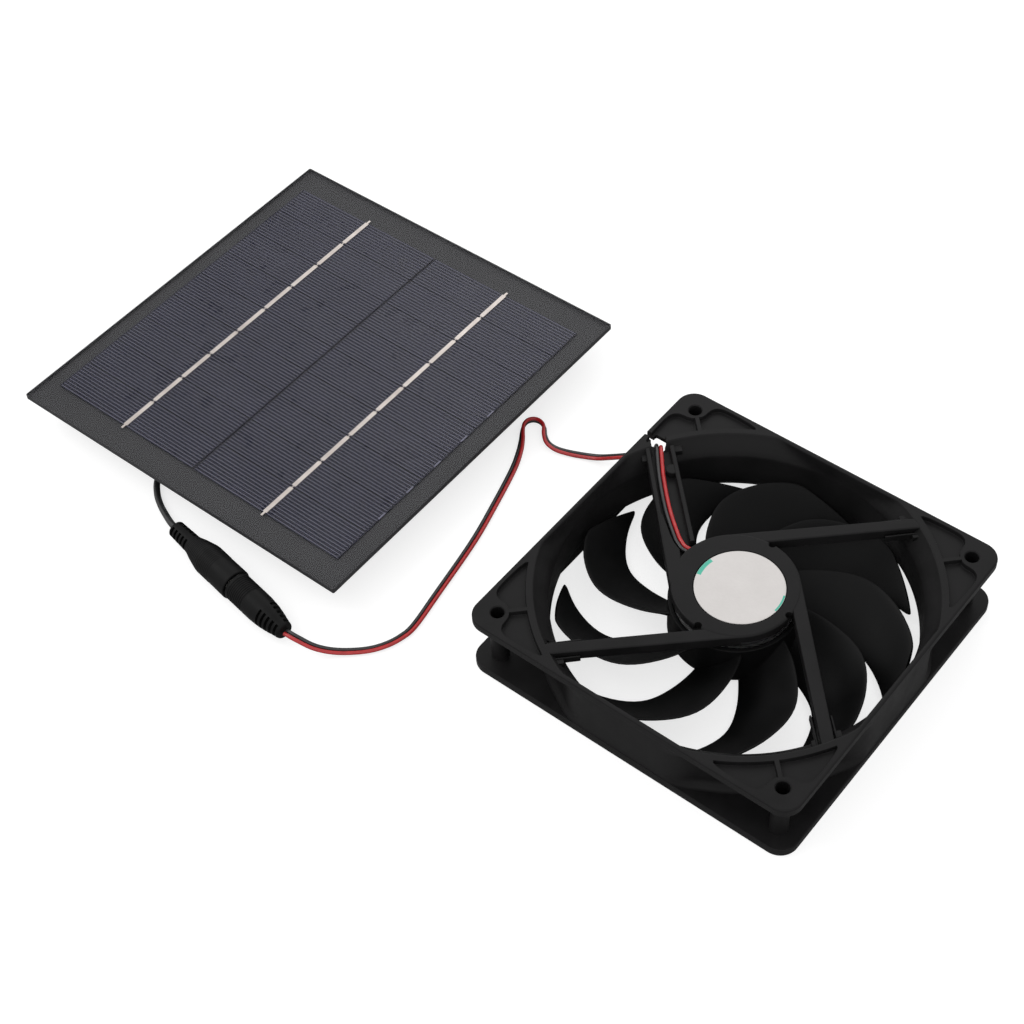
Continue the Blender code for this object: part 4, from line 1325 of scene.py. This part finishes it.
def make_cells(name, side):
    """One row of cells with its printed silver fingers and its tinned ribbon."""
    centre_y = CELL_CENTRE[1] + side * CELL_ROW_OFFSET
    half_x = (CELL_PITCH - CELL_SLIT) / 2 + 0.12
    half_y = CELL_LENGTH / 2 + 0.28
    bm = bmesh.new()
    for x in columns():
        outline = softened(rectangle(half_x, half_y, (CELL_CENTRE[0] + x, centre_y)), 0.25, 2)
        add_plate(bm, outline, *CELLS, 0.03, 1, 0.0)
    row = solid(f"cells_{name}", bm, at(PANEL))
    dress(row, "cell", "panel_assembly", f"cell_row_{name}", 30)

    bm = bmesh.new()
    top = CELLS[1]
    for x in columns():
        for k in range(FINGERS):
            place = (CELL_CENTRE[0] + x + (k - (FINGERS - 1) / 2) * FINGER_PITCH, centre_y)
            line = rectangle(FINGER_WIDTH / 2, half_y - 0.5, place)
            add_plate(bm, line, top - 0.05, top + 0.03, 0.02, 1, 0.0)
    if side < 0:
        for column in (1, 2, 3, 4, 5):
            place = (CELL_CENTRE[0] + columns()[column] + 1.2, centre_y - half_y + 0.35)
            add_plate(bm, rectangle(1.7, 0.28, place), top - 0.05, top + 0.06, 0.02, 1, 0.0)
    fingers = solid(f"cell_fingers_{name}", bm, at(PANEL))
    dress(fingers, "silver", "panel_assembly", None, 30)

    bm = bmesh.new()
    y = CELL_CENTRE[1] + side * BUSBAR_OFFSET
    for x in columns():
        strip = softened(rectangle(6.6, BUSBAR_WIDTH / 2, (CELL_CENTRE[0] + x, y)), 0.15, 3)
        add_plate(bm, strip, *BUSBARS, 0.05, 2, 0.0)
    for i in range(CELL_COLUMNS - 1):
        x = CELL_CENTRE[0] + columns()[i] + CELL_PITCH / 2
        add_plate(bm, rectangle(0.9, 0.16, (x, y)), BUSBARS[0] + 0.02, BUSBARS[0] + 0.08)
    for end in (-1, 1):
        x = CELL_CENTRE[0] + end * 64.0
        add_plate(bm, rectangle(0.9, 0.4, (x, y)), BUSBARS[0] + 0.02, BUSBARS[0] + 0.1)
    ribbon = solid(f"ribbon_{name}", bm, at(PANEL))
    dress(ribbon, "ribbon", "panel_assembly", f"busbar_{name}", 30)


def add_flutes(bm):
    """Shallow grip flutes along both long walls."""
    low, high = BOX_SHELL
    for end in (-1, 1):
        for k in range(-6, 7):
            centre = (k * 3.0, BOX_OFFSET + end * (BOX_HALF[1] + 0.35))
            add_plate(bm, circle(0.75, 20, centre), low + 1.6, high - 2.0, 0.3, 2, 0.3)


def add_lid_recesses(bm):
    """A tray and four screw seats in the lid's underside."""
    x, y = BOX_HALF
    tray = rounded_rectangle(x - 4.5, y - 4.5, 1.5, 6, (0.0, BOX_OFFSET))
    add_plate(bm, tray, -1.0, 0.5, 0.2, 2, 0.0)
    for i in (-1, 1):
        for j in (-1, 1):
            centre = (i * (x - 2.3), BOX_OFFSET + j * (y - 2.3))
            add_plate(bm, circle(1.1, 24, centre), -1.0, 0.9, 0.2, 2, 0.0)


def make_junction_box():
    place = (0.0, BOX_OFFSET)
    x, y = BOX_HALF
    low, high = BOX_SHELL
    outline = rounded_rectangle(x, y, 2.5, 8, place)
    cavity = rounded_rectangle(x - BOX_WALL, y - BOX_WALL, 1.0, 4, place)
    # Heights out of the wall that the panel lead leaves the box through
    side = along_axis(PANEL + Vector((-x, BOX_OFFSET, RELIEF_HEIGHT)), Vector((-1, 0, 0)))
    hole = ((0, -4), (2.6, -4), (2.6, 4), (0, 4))
    shell = on_panel("box_shell", add_plate, outline, low, high, 0.9, 4, 0.25)
    hollow = on_panel("box_cavity", add_plate, cavity, low - 1, high - BOX_WALL)
    combine(shell, hollow, "DIFFERENCE")
    change(shell, "DIFFERENCE", "box_hole", add_turned, hole, 32, place=side)
    combine(shell, on_panel("box_flutes", add_flutes), "DIFFERENCE")
    dress(shell, "box", "panel_assembly", "junction_box_shell", 32)

    lid = on_panel("box_lid", add_plate, outline, *BOX_LID, 0.2, 2, 0.6)
    combine(lid, on_panel("lid_recesses", add_lid_recesses), "DIFFERENCE")
    dress(lid, "box", "panel_assembly", "junction_box_lid", 32)

    bore = PANEL_LEAD_RADIUS + GAP
    profile = [(bore, -2.0), (2.3, -2.0), (2.3, 0.3), (3.4, 0.3), (3.4, 0.9), (3.1, 1.6)]
    for k in range(5):
        z = 2.0 + 1.7 * k
        r = 3.0 - 0.09 * (z - 1.6)
        profile += [(r, z), (r - 0.45, z + 0.12), (r - 0.5, z + 0.75), (r - 0.1, z + 0.87)]
    profile += [(2.15, 11.0), (2.0, 12.2), (bore, 12.2)]
    ring = bead(profile, 0.15, 2)
    relief = made("lead_sleeve", add_turned, ring, 48, closed=True, place=side)
    dress(relief, "rubber", "panel_assembly", "lead_relief", 34)


# ---------------- carried-over nodes


INNER_LOOKS = {
    "adhesive": ("junction_box_adhesive",),
    "board": ("driver_board",),
    "bright_steel": ("rotor_shaft",),
    "bronze": ("bearing_sleeve",),
    "component": ("driver_chip", "driver_capacitor", "hall_sensor", "blocking_diode"),
    "copper": ("stator_coil_1", "stator_coil_2", "stator_coil_3", "stator_coil_4"),
    "insulator": (
        "stator_insulator_lower",
        "stator_insulator_upper",
        "retaining_clip",
        "thrust_washer",
        "socket_insulator",
        "plug_insulator",
    ),
    "magnet": ("magnet_ring",),
    "nickel": (
        "socket_contact_sleeve",
        "socket_centre_pin",
        "plug_barrel",
        "plug_centre_contact",
        "terminal_positive",
        "terminal_negative",
    ),
    "rubber": ("bearing_plug",),
    "steel": ("stator_core", "rotor_yoke"),
}


def dress_inner_nodes():
    for look, names in INNER_LOOKS.items():
        for name in names:
            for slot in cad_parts[name].material_slots:
                slot.material = LOOKS[look]


# ---------------- stage


def make_stage():
    look = Look("studio_floor")
    cloud = look.noise(260.0, 2.0)
    look.colour(look.ramp(cloud, ((0.2, (0.37, 0.37, 0.37)), (0.8, (0.40, 0.40, 0.40)))))
    look.rough(cloud, 0.75, 0.85)
    look.shader.inputs["Emission Color"].default_value = (0.72, 0.72, 0.72, 1.0)
    # The floor's own glow is seen but lights nothing, so that the parts' dark sides stay dark
    seen = look.nodes.new("ShaderNodeLightPath").outputs["Is Camera Ray"]
    look.links.new(seen, look.shader.inputs["Emission Strength"])
    bm = bmesh.new()
    bmesh.ops.create_grid(bm, x_segments=8, y_segments=8, size=2500.0)
    floor = solid("studio_floor", bm)
    floor.data.materials.append(look.material)

    world = bpy.data.worlds.new("studio")
    world.use_nodes = True
    background = world.node_tree.nodes["Background"]
    background.inputs["Color"].default_value = (1.0, 1.0, 1.0, 1.0)
    background.inputs["Strength"].default_value = 0.88
    bpy.context.scene.world = world
    bpy.context.scene.view_settings.view_transform = "Standard"

    for name, place, size, watts in (
        ("key", (-0.45, 0.85, 1.15), 0.7, 5.0),
        ("fill", (-0.9, -0.7, 0.9), 1.1, 2.0),
        ("rim", (0.9, 0.5, 0.8), 0.7, 2.0),
    ):
        light = bpy.data.lights.new(name, "AREA")
        light.energy = watts
        light.size = size
        lamp = bpy.data.objects.new(name, light)
        lamp.location = place
        lamp.rotation_euler = (-Vector(place)).to_track_quat("-Z", "Y").to_euler()
        bpy.context.scene.collection.objects.link(lamp)


# ---------------- assembly


make_camera()
plug = make_plug()
socket = make_socket()
make_leads()
make_frame()
make_label()
make_impeller()
make_backsheet()
make_film()
make_cells("near", -1)
make_cells("far", 1)
make_junction_box()
dress_inner_nodes()
make_stage()
